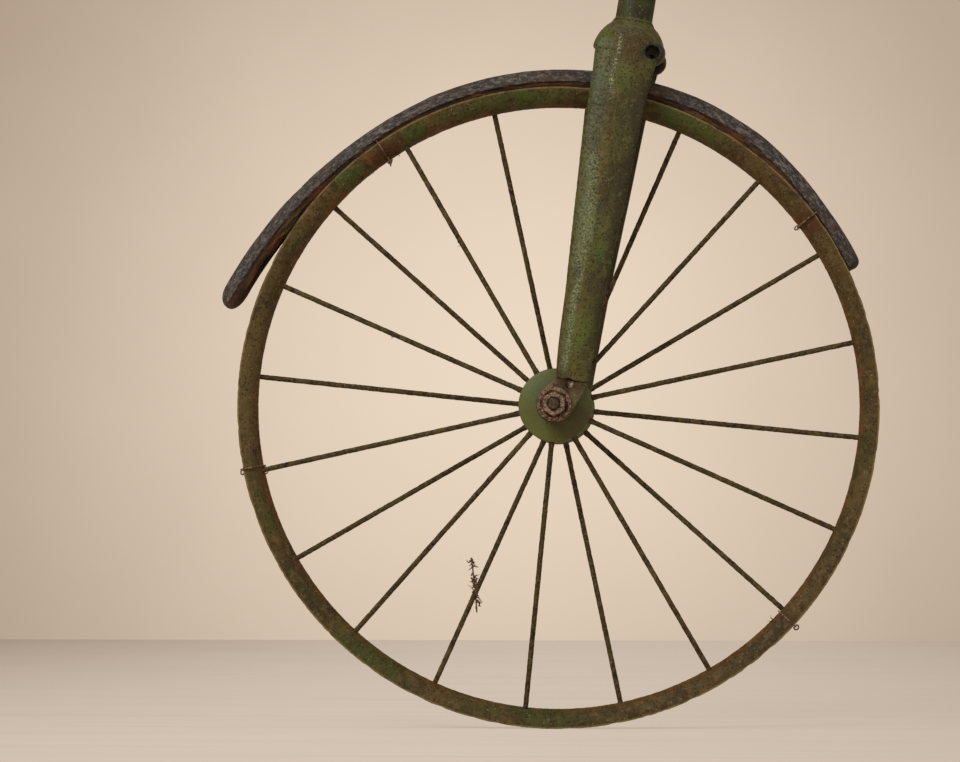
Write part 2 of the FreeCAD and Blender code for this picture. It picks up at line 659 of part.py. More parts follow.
def nodes():
    """Every node by name, laid out about the wheel's centre."""
    one_spoke = spoke()
    right_spokes, left_spokes = round_the_wheel(mirrored(one_spoke), one_spoke)
    ties = [at_angle(tie_wire(), degrees) for degrees in TIE_ANGLES]
    built = {
        "rim": rim(),
        "tyre_remnant": tyre_remnant(),
        "tie_wires": Part.makeCompound(ties),
        "right_spokes": Part.makeCompound(right_spokes),
        "left_spokes": Part.makeCompound(left_spokes),
        "hub": hub(),
        "axle": axle(),
        "fork_crown": crown(),
        "backbone_stub": backbone_stub(),
        "neck_braze": neck_braze(),
    }
    sided = {"cone": cone(), "fork_end": fork_end(), "washer": washer(), "axle_nut": nut(),
             "foot_rivet": rivet(), "fork_blade": blade()}
    for name, left_shape in sided.items():
        built["left_" + name] = left_shape
        built["right_" + name] = mirrored(left_shape)
    return built


os.makedirs("parts", exist_ok=True)
shift = origin_point() * -1
for name, shape in nodes().items():
    placed = shape.copy()
    placed.translate(shift)
    placed.exportStep("parts/" + name + ".step")
    print(name, len(placed.Solids), round(placed.Volume), placed.isValid())
print("origin", [round(value, 3) for value in origin_point()], "tyre reach", round(tyre_reach(), 2))
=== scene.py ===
import json
import logging
import math
import random
from dataclasses import dataclass, field
from enum import Enum
from typing import Any, Callable, Sequence

import bmesh
import bpy
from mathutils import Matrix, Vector, noise


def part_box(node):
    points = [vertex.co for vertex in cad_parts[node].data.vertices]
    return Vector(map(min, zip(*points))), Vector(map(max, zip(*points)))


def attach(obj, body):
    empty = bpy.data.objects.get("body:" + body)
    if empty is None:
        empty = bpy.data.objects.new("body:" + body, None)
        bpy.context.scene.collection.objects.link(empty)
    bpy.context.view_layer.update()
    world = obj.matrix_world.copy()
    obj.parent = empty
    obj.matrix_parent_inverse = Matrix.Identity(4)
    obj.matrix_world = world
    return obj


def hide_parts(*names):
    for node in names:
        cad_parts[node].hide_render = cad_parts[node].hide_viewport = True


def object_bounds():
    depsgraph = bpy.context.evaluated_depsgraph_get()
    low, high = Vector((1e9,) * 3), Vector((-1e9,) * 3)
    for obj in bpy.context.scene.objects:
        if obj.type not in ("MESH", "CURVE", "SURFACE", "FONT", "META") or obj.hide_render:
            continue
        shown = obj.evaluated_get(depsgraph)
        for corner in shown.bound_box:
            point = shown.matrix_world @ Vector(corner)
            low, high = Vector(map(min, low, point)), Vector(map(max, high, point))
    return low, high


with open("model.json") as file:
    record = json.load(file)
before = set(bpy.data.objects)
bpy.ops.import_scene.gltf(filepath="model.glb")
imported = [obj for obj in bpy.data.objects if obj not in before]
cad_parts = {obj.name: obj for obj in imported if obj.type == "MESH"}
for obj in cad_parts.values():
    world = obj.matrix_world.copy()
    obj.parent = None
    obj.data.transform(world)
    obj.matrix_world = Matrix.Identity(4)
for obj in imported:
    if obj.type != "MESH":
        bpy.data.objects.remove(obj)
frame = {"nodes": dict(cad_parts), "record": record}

CAD_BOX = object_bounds()
MM = 0.001
ACROSS = Vector((0.0, 1.0, 0.0)).freeze()
RIM_RADIUS = 216.5 * MM
RIM_DEPTH = 13.0 * MM
RIM_WIDTH = 21.5 * MM
TYRE_LAY = "lay"
log = logging.getLogger("rear_wheel")


# --------------------------------------------------------------------------- places
@dataclass(frozen=True)
class WheelPlace:
    """Where the wheel stands, and points round it.

    Angles are in degrees from the forward direction, rising at the front.
    """

    centre: Vector

    def radial(self, degrees: float) -> Vector:
        """Unit vector from the wheel's centre at an angle."""
        turn = math.radians(degrees)
        return Vector((math.cos(turn), 0.0, math.sin(turn)))

    def tangent(self, degrees: float) -> Vector:
        """Unit vector along the rim, in the direction of rising angles."""
        return self.radial(degrees + 90.0)

    def point(self, degrees: float, radius: float, across: float = 0.0) -> Vector:
        """A point of the wheel.

        Args:
            degrees: Angle round the wheel.
            radius: Distance from the axle's line, in metres.
            across: Distance to the left of the wheel's middle plane, in metres.

        Returns:
            The point in the part's own frame.
        """
        return self.centre + self.radial(degrees) * radius + Vector((0.0, across, 0.0))


@dataclass(frozen=True)
class ForkPlace:
    """The fork's leaning line, measured from the axle."""

    axle: Vector
    up: Vector

    @property
    def forward(self) -> Vector:
        """Unit vector square to the fork's line, towards the front wheel."""
        return ACROSS.cross(self.up)

    @property
    def lean(self) -> float:
        """Angle of the fork's line from upright, in radians."""
        return math.atan2(self.up.x, self.up.z)

    def point(self, height: float, forward: float = 0.0, across: float = 0.0) -> Vector:
        """A point of the fork from its height along the blades.

        Args:
            height: Distance up the fork's line from the axle, in metres.
            forward: Distance ahead of the line, in metres.
            across: Distance to the left of the middle plane, in metres.

        Returns:
            The point in the part's own frame.
        """
        return self.axle + self.up * height + self.forward * forward + Vector((0.0, across, 0.0))


def middle_of(node: str) -> Vector:
    """Middle of a frame node's box."""
    low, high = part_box(node)
    return (low + high) / 2.0


# --------------------------------------------------------------------------- modelling steps
class Bench:
    """The operator steps that the pieces are made with."""

    @staticmethod
    def clear() -> None:
        """Deselect everything."""
        bpy.ops.object.select_all(action="DESELECT")

    @classmethod
    def take(cls, piece: bpy.types.Object) -> None:
        """Make one object the only selected and the active one.

        Args:
            piece: The object.
        """
        cls.clear()
        piece.select_set(True)
        bpy.context.view_layer.objects.active = piece

    @classmethod
    def added(cls, name: str) -> bpy.types.Object:
        """Name the primitive just added and put its place into its mesh.

        Args:
            name: Name of the object and of its mesh.

        Returns:
            The object.
        """
        piece = bpy.context.object
        piece.name = name
        piece.data.name = name
        bpy.ops.object.transform_apply(location=True, rotation=True, scale=True)
        return piece

    @staticmethod
    def edit(on: bool) -> None:
        """Enter or leave edit mode."""
        bpy.ops.object.mode_set(mode="EDIT" if on else "OBJECT")

    @staticmethod
    def pick(piece: bpy.types.Object, wanted: Callable[[Vector], bool]) -> None:
        """Select the vertices whose place passes a test, in edit mode.

        Args:
            piece: The object in edit mode.
            wanted: Test on a vertex's place.
        """
        shape = bmesh.from_edit_mesh(piece.data)
        for face in shape.faces:
            face.select = False
        for edge in shape.edges:
            edge.select = False
        for vertex in shape.verts:
            vertex.select = bool(wanted(vertex.co))
        shape.select_flush_mode()
        bmesh.update_edit_mesh(piece.data)

    @classmethod
    def close(cls, piece: bpy.types.Object, apart: float = 0.01 * MM) -> None:
        """Merge doubles and turn all faces outwards.

        Args:
            piece: The mesh object.
            apart: Distance under which two points are one, in metres.
        """
        cls.take(piece)
        cls.edit(True)
        bpy.ops.mesh.select_all(action="SELECT")
        bpy.ops.mesh.remove_doubles(threshold=apart)
        bpy.ops.mesh.normals_make_consistent(inside=False)
        cls.edit(False)

    @staticmethod
    def apply(piece: bpy.types.Object, kind: str, **values: Any) -> None:
        """Add a modifier, set it and apply it at once.

        Args:
            piece: The mesh object.
            kind: Type of the modifier.
            values: Settings of the modifier.
        """
        modifier = piece.modifiers.new(kind.title(), kind)
        for name, value in values.items():
            setattr(modifier, name, value)
        Bench.take(piece)
        bpy.ops.object.modifier_apply(modifier=modifier.name)

    @classmethod
    def recast(cls, node: str, name: str, grain: float) -> bpy.types.Object:
        """Copy a frame node onto an even mesh that is fine enough to be pitted.

        Args:
            node: Name of the frame node.
            name: Name of the new piece.
            grain: Edge of the even mesh, in metres.

        Returns:
            The new object, with its place in its mesh.
        """
        piece = bpy.data.objects.new(name, frame["nodes"][node].data.copy())
        piece.data.name = name
        piece.data.materials.clear()
        bpy.context.scene.collection.objects.link(piece)
        cls.take(piece)
        bpy.ops.mesh.customdata_custom_splitnormals_clear()
        cls.close(piece)
        cls.apply(piece, "REMESH", mode="VOXEL", voxel_size=grain)
        return piece

    @classmethod
    def strand(
        cls, name: str, points: Sequence[Vector], radii: Sequence[float], sides: int = 8
    ) -> bpy.types.Object:
        """Round bar or wire along a line, closed at both ends.

        Args:
            name: Name of the new object.
            points: The line.
            radii: Radius at each point, in metres.
            sides: Number of faces round the section, a multiple of four.

        Returns:
            The new mesh object.
        """
        cls.clear()
        bpy.ops.curve.primitive_bezier_curve_add()
        piece = bpy.context.object
        curve = piece.data
        curve.splines.clear()
        spline = curve.splines.new("POLY")
        spline.points.add(len(points) - 1)
        for knot, place, radius in zip(spline.points, points, radii):
            knot.co = (*place, 1.0)
            knot.radius = radius
        curve.bevel_depth = 1.0
        curve.bevel_resolution = sides // 2 - 2
        curve.use_fill_caps = True
        cls.take(piece)
        bpy.ops.object.convert(target="MESH")
        piece = cls.added(name)
        cls.close(piece)
        return piece

    @classmethod
    def joined(cls, name: str, pieces: Sequence[bpy.types.Object]) -> bpy.types.Object:
        """Join objects into one mesh object.

        Args:
            name: Name of the joined object.
            pieces: The objects; the first one takes the others in.

        Returns:
            The joined object.
        """
        cls.clear()
        for piece in pieces:
            piece.select_set(True)
        bpy.context.view_layer.objects.active = pieces[0]
        bpy.ops.object.join()
        piece = bpy.context.object
        piece.name = name
        piece.data.name = name
        return piece

    @classmethod
    def smooth(cls, piece: bpy.types.Object, corner: float = 60.0) -> None:
        """Shade a piece smooth, keeping corners sharper than an angle in degrees."""
        cls.take(piece)
        bpy.ops.object.shade_smooth_by_angle(angle=math.radians(corner))


class Grain(Enum):
    """Kinds of relief that weather leaves on a surface."""

    LUMPS = "CLOUDS"
    PITS = "VORONOI"


@dataclass(frozen=True)
class Relief:
    """One layer of relief: its kind, the size of its marks, its height and its middle level."""

    kind: Grain
    size: float
    height: float
    level: float = 0.5
    contrast: float = 1.0

    def raise_on(self, piece: bpy.types.Object) -> None:
        """Raise this relief on a piece's mesh.

        Args:
            piece: The mesh object.
        """
        texture = bpy.data.textures.new(f"{piece.name} {self.kind.name.lower()}", self.kind.value)
        texture.noise_scale = self.size
        if self.kind is Grain.LUMPS:
            texture.noise_depth = 3
            texture.contrast = self.contrast
        if self.kind is Grain.PITS:
            texture.noise_intensity = self.contrast
        Bench.apply(piece, "DISPLACE", texture=texture, strength=self.height, mid_level=self.level,
                    texture_coords="LOCAL")


def finish_piece(
    piece: bpy.types.Object, body: str, coat: bpy.types.Material,
    stands_for: Sequence[str] = ()
) -> None:
    """Shade a piece smooth, dress it and tie it to its body.

    Args:
        piece: The finished mesh object.
        body: Body that it rides on.
        coat: Its material.
        stands_for: Frame nodes that it stands for.
    """
    Bench.smooth(piece)
    piece.data.materials.clear()
    piece.data.materials.append(coat)
    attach(piece, body)
    if stands_for:
        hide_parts(*stands_for)
    log.info("%s rides on %s, %d faces", piece.name, body, len(piece.data.polygons))


# --------------------------------------------------------------------------- colours
def linear(hex_code: str) -> tuple[float, float, float, float]:
    """Scene-linear colour from a hex code.

    Args:
        hex_code: Six hex digits for red, green and blue.

    Returns:
        Red, green, blue and an alpha of 1.
    """
    def open_up(value: float) -> float:
        """One channel without its display curve."""
        return value / 12.92 if value <= 0.04045 else ((value + 0.055) / 1.055) ** 2.4

    channels = (int(hex_code[place:place + 2], 16) / 255.0 for place in (0, 2, 4))
    return (*(open_up(value) for value in channels), 1.0)


class Tint(Enum):
    """Colours of the old paint, iron, rust, rubber and room, and of the painted shade, shadow and
    sheen laid over them.
    """

    OLIVE = "4E4715"
    OLIVE_LIGHT = "606026"
    OLIVE_DARK = "2F260A"
    NECK_BLACK_GREEN = "22240C"
    HUB_GREEN = "5C5E2D"
    HUB_PAINTED_SHADOW = "443A14"
    TEAL_PAINT_AND_SHEEN = "566540"
    MOSS = "3C5226"
    RIM_MOSS = "3E4A18"
    PLATE_OLIVE = "625634"
    SPECK_WHITE = "ABA992"
    BRIGHT_GREEN = "485D1B"
    IRON_OLIVE = "523F1C"
    IRON_DARK = "2A2009"
    BARE_EDGE = "7E6A42"
    RUST_ORANGE = "7A4518"
    RUST_BROWN = "4A2A10"
    RUST_DARK_AND_SHADE = "211307"
    CRUST_PINK = "84664E"
    CRUST_PALE = "B39A7E"
    RUBBER = "2C2523"
    RUBBER_PALE = "7C726A"
    RUBBER_BASE = "3A2414"
    RUBBER_TAN = "4A3626"
    DUST = "958663"
    FIBRE = "8F7A55"
    RIM_GREEN = "3D4215"
    IRON_TAN = "6A5530"
    OLIVE_BROWN = "433410"
    CROWN_GREY = "57513A"
    SHEEN = "7C8862"
    RUBBER_GREY = "33302F"
    DARK_SPOT_AND_BORE_SHADE = "1A1F28"
    FLOOR = "DDCDBD"
    FLOOR_DARK = "AC9988"
    WALL_LIGHT = "EBD8C3"
    WALL_DARK = "AE9A86"

    @property
    def colour(self) -> tuple[float, float, float, float]:
        """The tint as a scene-linear colour."""
        return linear(self.value)


# --------------------------------------------------------------------------- shading
Socket = Any


class Shading:
    """Adds nodes to one tree and joins them."""

    # sockets of the Mix node when it mixes colours; their names repeat, so they go by number
    MIX_SHARE, MIX_BELOW, MIX_ABOVE, MIX_COLOUR = 0, 6, 7, 2

    def __init__(self, tree: bpy.types.NodeTree) -> None:
        """Start on a tree."""
        self.tree = tree

    def put(self, socket: Socket, value: Any) -> None:
        """Link a value that comes from a node, or set a plain one.

        Args:
            socket: The input that takes the value.
            value: An output of a node, a tint or a plain value.
        """
        if isinstance(value, bpy.types.NodeSocket):
            self.tree.links.new(value, socket)
        elif isinstance(value, Tint):
            socket.default_value = value.colour
        else:
            socket.default_value = value

    def add(
        self, kind: str, inputs: dict[Any, Any] | None = None, **settings: Any
    ) -> bpy.types.Node:
        """Add a node.

        Args:
            kind: Node type without its common prefix.
            inputs: Values for its inputs, by name or number.
            settings: Settings of the node itself.

        Returns:
            The node.
        """
        node = self.tree.nodes.new("ShaderNode" + kind)
        for name, value in settings.items():
            setattr(node, name, value)
        for key, value in (inputs or {}).items():
            self.put(node.inputs[key], value)
        return node

    def object_place(self) -> Socket:
        """Place on the surface, in the part's own frame."""
        return self.add("TexCoord").outputs["Object"]

    def noise(self, place: Socket, scale: Any, detail: float = 4.0, rough: float = 0.55) -> Socket:
        """Cloudy value between about 0.2 and 0.8."""
        inputs = {"Vector": place, "Scale": scale, "Detail": detail, "Roughness": rough}
        return self.add("TexNoise", inputs).outputs[0]

    def band(self, value: Socket, low: Any, high: Any) -> Socket:
        """Smooth step of a value from 0 at low to 1 at high."""
        inputs = {"Value": value, "From Min": low, "From Max": high}
        return self.add("MapRange", inputs, interpolation_type="SMOOTHSTEP").outputs[0]

    def maths(self, what: str, first: Any, second: Any = 0.0, clamp: bool = False) -> Socket:
        """One arithmetic step."""
        return self.add("Math", {0: first, 1: second}, operation=what, use_clamp=clamp).outputs[0]

    def times(self, first: Any, second: Any) -> Socket:
        """Product of two values."""
        return self.maths("MULTIPLY", first, second)

    def plus(self, first: Any, second: Any, clamp: bool = False) -> Socket:
        """Sum of two values, kept between 0 and 1 if it is clamped."""
        return self.maths("ADD", first, second, clamp)

    def minus(self, first: Any, second: Any) -> Socket:
        """First value less the second."""
        return self.maths("SUBTRACT", first, second)

    def rest(self, share: Socket) -> Socket:
        """What a share leaves of 1."""
        return self.maths("SUBTRACT", 1.0, share)

    def scaled(self, value: Socket, gain: float, floor: float, clamp: bool = False) -> Socket:
        """Value times a gain, raised by a floor."""
        return self.plus(self.times(value, gain), floor, clamp)

    def wander(
        self, place: Socket, scale: float, reach: float, detail: float, rough: float = 0.55
    ) -> Socket:
        """Noise about zero, whose full range is the reach."""
        return self.times(self.minus(self.noise(place, scale, detail, rough), 0.5), reach)

    def vector(self, what: str, first: Any, second: Any = (0.0, 0.0, 0.0)) -> Socket:
        """One vector step; a length, a distance or a dot product comes out as a value."""
        node = self.add("VectorMath", {0: first, 1: second}, operation=what)
        return node.outputs["Value" if what in ("LENGTH", "DISTANCE", "DOT_PRODUCT") else "Vector"]

    def mix(self, share: Any, below: Any, above: Any, blend: str = "MIX") -> Socket:
        """Colour mixed from two.

        Args:
            share: Share of the upper colour.
            below: The lower colour.
            above: The upper colour.
            blend: How the upper colour acts on the lower one.

        Returns:
            The mixed colour.
        """
        node = self.add("Mix", data_type="RGBA", blend_type=blend)
        self.put(node.inputs[self.MIX_SHARE], share)
        self.put(node.inputs[self.MIX_BELOW], below)
        self.put(node.inputs[self.MIX_ABOVE], above)
        return node.outputs[self.MIX_COLOUR]

    def lay(self, mask: Socket, strength: float, below: Any, above: Any) -> Socket:
        """Colour laid over another where a mask shows it, at a strength."""
        return self.mix(self.times(mask, strength), below, above)

    def group(self, effect: bpy.types.NodeTree, **inputs: Any) -> Socket:
        """Place a shared effect with its own values, and take its one output."""
        return self.add("Group", inputs, node_tree=effect).outputs[0]

    def bump(self, height: Socket, depth: float) -> Socket:
        """Normal bent by a height, whose full range stands for a depth in metres."""
        return self.add("Bump", {"Height": height, "Distance": depth}).outputs[0]


def new_effect(name: str, inputs: dict[str, Any], output: str) -> tuple[Shading, Any, Any]:
    """Start a shared effect.

    Args:
        name: Name of the effect.
        inputs: Name and first value of each input; None for a place on the surface.
        output: Name of its one output, a value.

    Returns:
        The shading helper, and the nodes that bring the inputs in and take the output out.
    """
    tree = bpy.data.node_groups.new(name, "ShaderNodeTree")
    for title, value in inputs.items():
        kind = "NodeSocketFloat" if isinstance(value, float) else "NodeSocketVector"
        socket = tree.interface.new_socket(name=title, in_out="INPUT", socket_type=kind)
        if value is not None:
            socket.default_value = value
    tree.interface.new_socket(name=output, in_out="OUTPUT", socket_type="NodeSocketFloat")
    return Shading(tree), tree.nodes.new("NodeGroupInput"), tree.nodes.new("NodeGroupOutput")


class Effects:
    """The effects that several finishes share, each built once."""

    def __init__(self) -> None:
        """Build every effect."""
        self.weather = self._weather()
        self.flecks = self._flecks()
        self.pitting = self._pitting()
        self.zone = self._zone()
        self.axle_distance = self._axle_distance()

    @staticmethod
    def _weather() -> bpy.types.NodeTree:
        """Ragged patches that cover a share of the surface.

        Returns:
            The effect's node tree.
        """
        sh, into, out = new_effect(
            "Weather", {"Place": None, "Scale": 40.0, "Cover": 0.5, "Edge": 0.1}, "Mask")
        broad = sh.noise(into.outputs["Place"], into.outputs["Scale"], 8.0, 0.62)
        fine = sh.noise(into.outputs["Place"], sh.times(into.outputs["Scale"], 7.0), 3.0, 0.6)
        both = sh.plus(sh.times(broad, 0.8), sh.times(fine, 0.2))
        # the noise keeps between about 0.3 and 0.7, so the cover is laid over that span
        level = sh.minus(0.7, sh.times(into.outputs["Cover"], 0.4))
        low = sh.minus(level, into.outputs["Edge"])
        high = sh.plus(level, into.outputs["Edge"])
        sh.put(out.inputs["Mask"], sh.band(both, low, high))
        return sh.tree

    @staticmethod
    def _flecks() -> bpy.types.NodeTree:
        """Scattered small spots.

        Returns:
            The effect's node tree.
        """
        sh, into, out = new_effect(
            "Flecks", {"Place": None, "Scale": 600.0, "Amount": 0.2, "Size": 0.3}, "Mask")
        cells = sh.add("TexVoronoi", {"Vector": into.outputs["Place"],
                                      "Scale": into.outputs["Scale"]})
        chosen = sh.add("SeparateColor", {0: cells.outputs["Color"]}).outputs[0]
        kept = sh.maths("LESS_THAN", chosen, into.outputs["Amount"])
        spot = sh.rest(sh.band(cells.outputs["Distance"],
                                                 sh.times(into.outputs["Size"], 0.6),
                                                 into.outputs["Size"]))
        sh.put(out.inputs["Mask"], sh.times(kept, spot))
        return sh.tree

    @staticmethod
    def _pitting() -> bpy.types.NodeTree:
        """Height of a corroded surface: fine grain over shallow pits.

        Returns:
            The effect's node tree.
        """
        sh, into, out = new_effect(
            "Pitting", {"Place": None, "Scale": 500.0, "Pits": 0.5}, "Height")
        grain = sh.noise(into.outputs["Place"], into.outputs["Scale"], 6.0, 0.65)
        cells = sh.add("TexVoronoi", {"Vector": into.outputs["Place"],
                                      "Scale": sh.times(into.outputs["Scale"], 0.6)},
                       feature="SMOOTH_F1")
        pit = sh.times(sh.band(cells.outputs["Distance"], 0.05, 0.45), into.outputs["Pits"])
        sh.put(out.inputs["Height"], sh.plus(grain, pit))
        return sh.tree

    @staticmethod
    def _zone() -> bpy.types.NodeTree:
        """Soft ragged area round one point.

        Returns:
            The effect's node tree.
        """
        sh, into, out = new_effect(
            "Zone", {"Place": None, "Centre": (0.0, 0.0, 0.0), "Radius": 0.02, "Ragged": 0.5},
            "Mask")
        far = sh.vector("DISTANCE", into.outputs["Place"], into.outputs["Centre"])
        share = sh.maths("DIVIDE", far, into.outputs["Radius"])
        wobble = sh.minus(sh.noise(into.outputs["Place"], 90.0, 6.0, 0.6), 0.5)
        wobble = sh.times(wobble, sh.times(into.outputs["Ragged"], 4.0))
        edge = sh.plus(share, wobble)
        sh.put(out.inputs["Mask"], sh.rest(sh.band(edge, 0.35, 1.0)))
        return sh.tree

    @staticmethod
    def _axle_distance() -> bpy.types.NodeTree:
        """Distance from the axle's line, in metres.

        Returns:
            The effect's node tree.
        """
        sh, into, out = new_effect(
            "Axle distance", {"Place": None, "Centre": (0.0, 0.0, 0.0)}, "Distance")
        spot = sh.vector("SUBTRACT", into.outputs["Place"], into.outputs["Centre"])
        flat = sh.vector("MULTIPLY", spot, (1.0, 0.0, 1.0))
        sh.put(out.inputs["Distance"], sh.vector("LENGTH", flat))
        return sh.tree


@dataclass(frozen=True)
class Patch:
    """A soft-edged area of another colour round a point."""

    centre: Vector
    radius: float
    tint: Tint
    strength: float = 0.8
    ragged: float = 0.35


class CoatShading(Shading):
    """Shading of one material, with the shared effects at hand."""

    def __init__(self, tree: bpy.types.NodeTree, effects: Effects) -> None:
        """Start on a material's tree."""
        super().__init__(tree)
        self.effects = effects

    def weather(self, place: Socket, scale: float, cover: float, edge: float) -> Socket:
        """Mask of ragged patches that cover a share of the surface."""
        return self.group(self.effects.weather, Place=place, Scale=scale, Cover=cover, Edge=edge)

    def flecks(self, place: Socket, scale: float, amount: float, size: float) -> Socket:
        """Mask of scattered small spots."""
        return self.group(self.effects.flecks, Place=place, Scale=scale, Amount=amount, Size=size)

    def pitting(self, place: Socket, scale: float, pits: float) -> Socket:
        """Height of a corroded surface."""
        return self.group(self.effects.pitting, Place=place, Scale=scale, Pits=pits)

    def axle_distance(self, place: Socket, centre: Vector) -> Socket:
        """Distance from the line of an axle through a point."""
        return self.group(self.effects.axle_distance, Place=place, Centre=tuple(centre))

    def grained(
        self, place: Socket, colour: Socket, scale: float, gain: float, floor: float
    ) -> Socket:
        """Darken and lighten a colour in fine grain.

        Args:
            place: Place on the surface.
            colour: The colour.
            scale: Scale of the grain.
            gain: How strongly the grain shows.
            floor: Brightness that the darkest grain keeps.

        Returns:
            The grained colour.
        """
        fine = self.scaled(self.noise(place, scale, 3.0, 0.65), gain, floor)
        shade = self.add("CombineColor", {0: fine, 1: fine, 2: fine}).outputs[0]
        return self.mix(1.0, colour, shade, "MULTIPLY")

    def patched(self, place: Socket, colour: Socket, patches: Sequence[Patch]) -> Socket:
        """Lay patches over a colour.

        Args:
            place: Place on the surface.
            colour: Colour below the patches.
            patches: The patches, the first one lowest.

        Returns:
            The colour with its patches.
        """
        for patch in patches:
            zone = self.group(self.effects.zone, Place=place, Centre=tuple(patch.centre),
                              Radius=patch.radius, Ragged=patch.ragged)
            colour = self.lay(zone, patch.strength, colour, patch.tint)
        return colour


def new_material(
    name: str, effects: Effects, shine: float = 0.25
) -> tuple[bpy.types.Material, CoatShading, bpy.types.Node]:
    """Start a material.

    Args:
        name: Name of the material.
        effects: The shared effects.
        shine: Specular level of its surface.

    Returns:
        The material, its shading helper and its Principled shader.
    """
    material = bpy.data.materials.new(name)
    material.use_nodes = True
    shader = material.node_tree.nodes["Principled BSDF"]
    shader.inputs["Specular IOR Level"].default_value = shine
    return material, CoatShading(material.node_tree, effects), shader


@dataclass(frozen=True)
class Streak:
    """A long run of specks of one colour between two points of a surface."""

    start: Vector
    end: Vector
    half_width: float
    tint: Tint
    strength: float = 0.8
    cover: float = 0.4
    speck_scale: float = 420.0

    def lay_over(self, sh: CoatShading, place: Socket, colour: Socket) -> Socket:
        """Lay the streak over a colour.

        Args:
            sh: Shading helper of the material.
            place: Place on the surface.
            colour: Colour below the streak.

        Returns:
            The colour with the streak.
        """
        along = self.end - self.start
        from_start = sh.vector("SUBTRACT", place, tuple(self.start))
        run = sh.vector("DOT_PRODUCT", from_start, tuple(along.normalized()))
        share = sh.maths("DIVIDE", run, along.length)
        spot = sh.vector("MULTIPLY", from_start, (1.0, 0.0, 1.0))
        across = sh.vector("DOT_PRODUCT", spot, tuple(along.cross(ACROSS).normalized()))
        wander = sh.wander(place, 35.0, self.half_width * 3.0, 3.0)
        reach = sh.maths("DIVIDE", sh.maths("ABSOLUTE", sh.plus(across, wander)), self.half_width)
        inside = sh.rest(sh.band(reach, 0.2, 1.0))
        ends = sh.times(sh.band(share, 0.0, 0.12), sh.rest(sh.band(share, 0.85, 1.0)))
        specks = sh.weather(place, self.speck_scale, self.cover, 0.04)
        mask = sh.times(sh.times(inside, ends), specks)
        return sh.lay(mask, self.strength, colour, self.tint)


@dataclass(frozen=True)
class WeatheredPaint:
    """Old paint on iron, faded and darkened in clouds, rusted through, flecked with dust."""

    name: str
    base: Tint
    light: Tint
    dark: Tint
    rust: Tint = Tint.RUST_BROWN
    cloud_scale: float = 30.0
    rust_scale: float = 150.0
    rust_cover: float = 0.2
    light_cover: float = 0.4
    dark_cover: float = 0.45
    fleck_amount: float = 0.06
    fleck_scale: float = 620.0
    pock_amount: float = 0.3
    pock_scale: float = 640.0
    mottle: float = 0.35
    shine: float = 0.3
    gloss: float = 0.5
    relief: float = 0.16 * MM
    relief_scale: float = 520.0
    stretch: float = 1.0
    lean: float = 0.0
    patches: tuple[Patch, ...] = ()
    streaks: tuple[Streak, ...] = ()

    def material(self, effects: Effects) -> bpy.types.Material:
        """Build the material.

        Args:
            effects: The shared effects.

        Returns:
            The material.
        """
        material, sh, shader = new_material(self.name, effects, self.shine)
        place = sh.object_place()
        run = place
        if self.stretch != 1.0:
            run = sh.add("Mapping", {"Vector": place, "Rotation": (0.0, -self.lean, 0.0),
                                     "Scale": (1.0, 1.0, self.stretch)}).outputs[0]
        dark = sh.weather(run, self.cloud_scale, self.dark_cover, 0.12)
        light = sh.weather(run, self.cloud_scale * 3.1, self.light_cover, 0.08)
        rust = sh.weather(place, self.rust_scale, self.rust_cover, 0.03)
        flecks = sh.flecks(place, self.fleck_scale, self.fleck_amount, 0.35)
        pocks = sh.flecks(place, self.pock_scale, self.pock_amount, 0.42)
        specks = sh.weather(place, 330.0, 0.3, 0.05)
        colour = sh.lay(dark, 0.8, self.base, self.dark)
        colour = sh.lay(light, 0.6, colour, self.light)
        colour = sh.patched(place, colour, self.patches)
        blotch = sh.band(sh.noise(place, self.rust_scale * 7.0), 0.35, 0.65)
        rusty = sh.mix(blotch, self.rust, Tint.RUST_DARK_AND_SHADE)
        colour = sh.lay(rust, 0.8, colour, rusty)
        colour = sh.lay(specks, self.mottle, colour, self.light)
        colour = sh.lay(pocks, 0.7, colour, Tint.RUST_DARK_AND_SHADE)
        colour = sh.lay(flecks, 0.5, colour, Tint.DUST)
        for streak in self.streaks:
            colour = streak.lay_over(sh, place, colour)
        sh.put(shader.inputs["Base Color"], sh.grained(place, colour, 1300.0, 1.1, 0.45))
        dull = sh.plus(sh.times(rust, 0.3), self.gloss)
        dull = sh.plus(dull, sh.times(sh.noise(place, 300.0), 0.2), clamp=True)
        sh.put(shader.inputs["Roughness"], dull)
        relief = sh.pitting(place, self.relief_scale, 0.5)
        height = sh.minus(relief, sh.times(rust, 0.35))
        height = sh.minus(height, sh.times(pocks, 0.6))
        sh.put(shader.inputs["Normal"], sh.bump(height, self.relief))
        return material


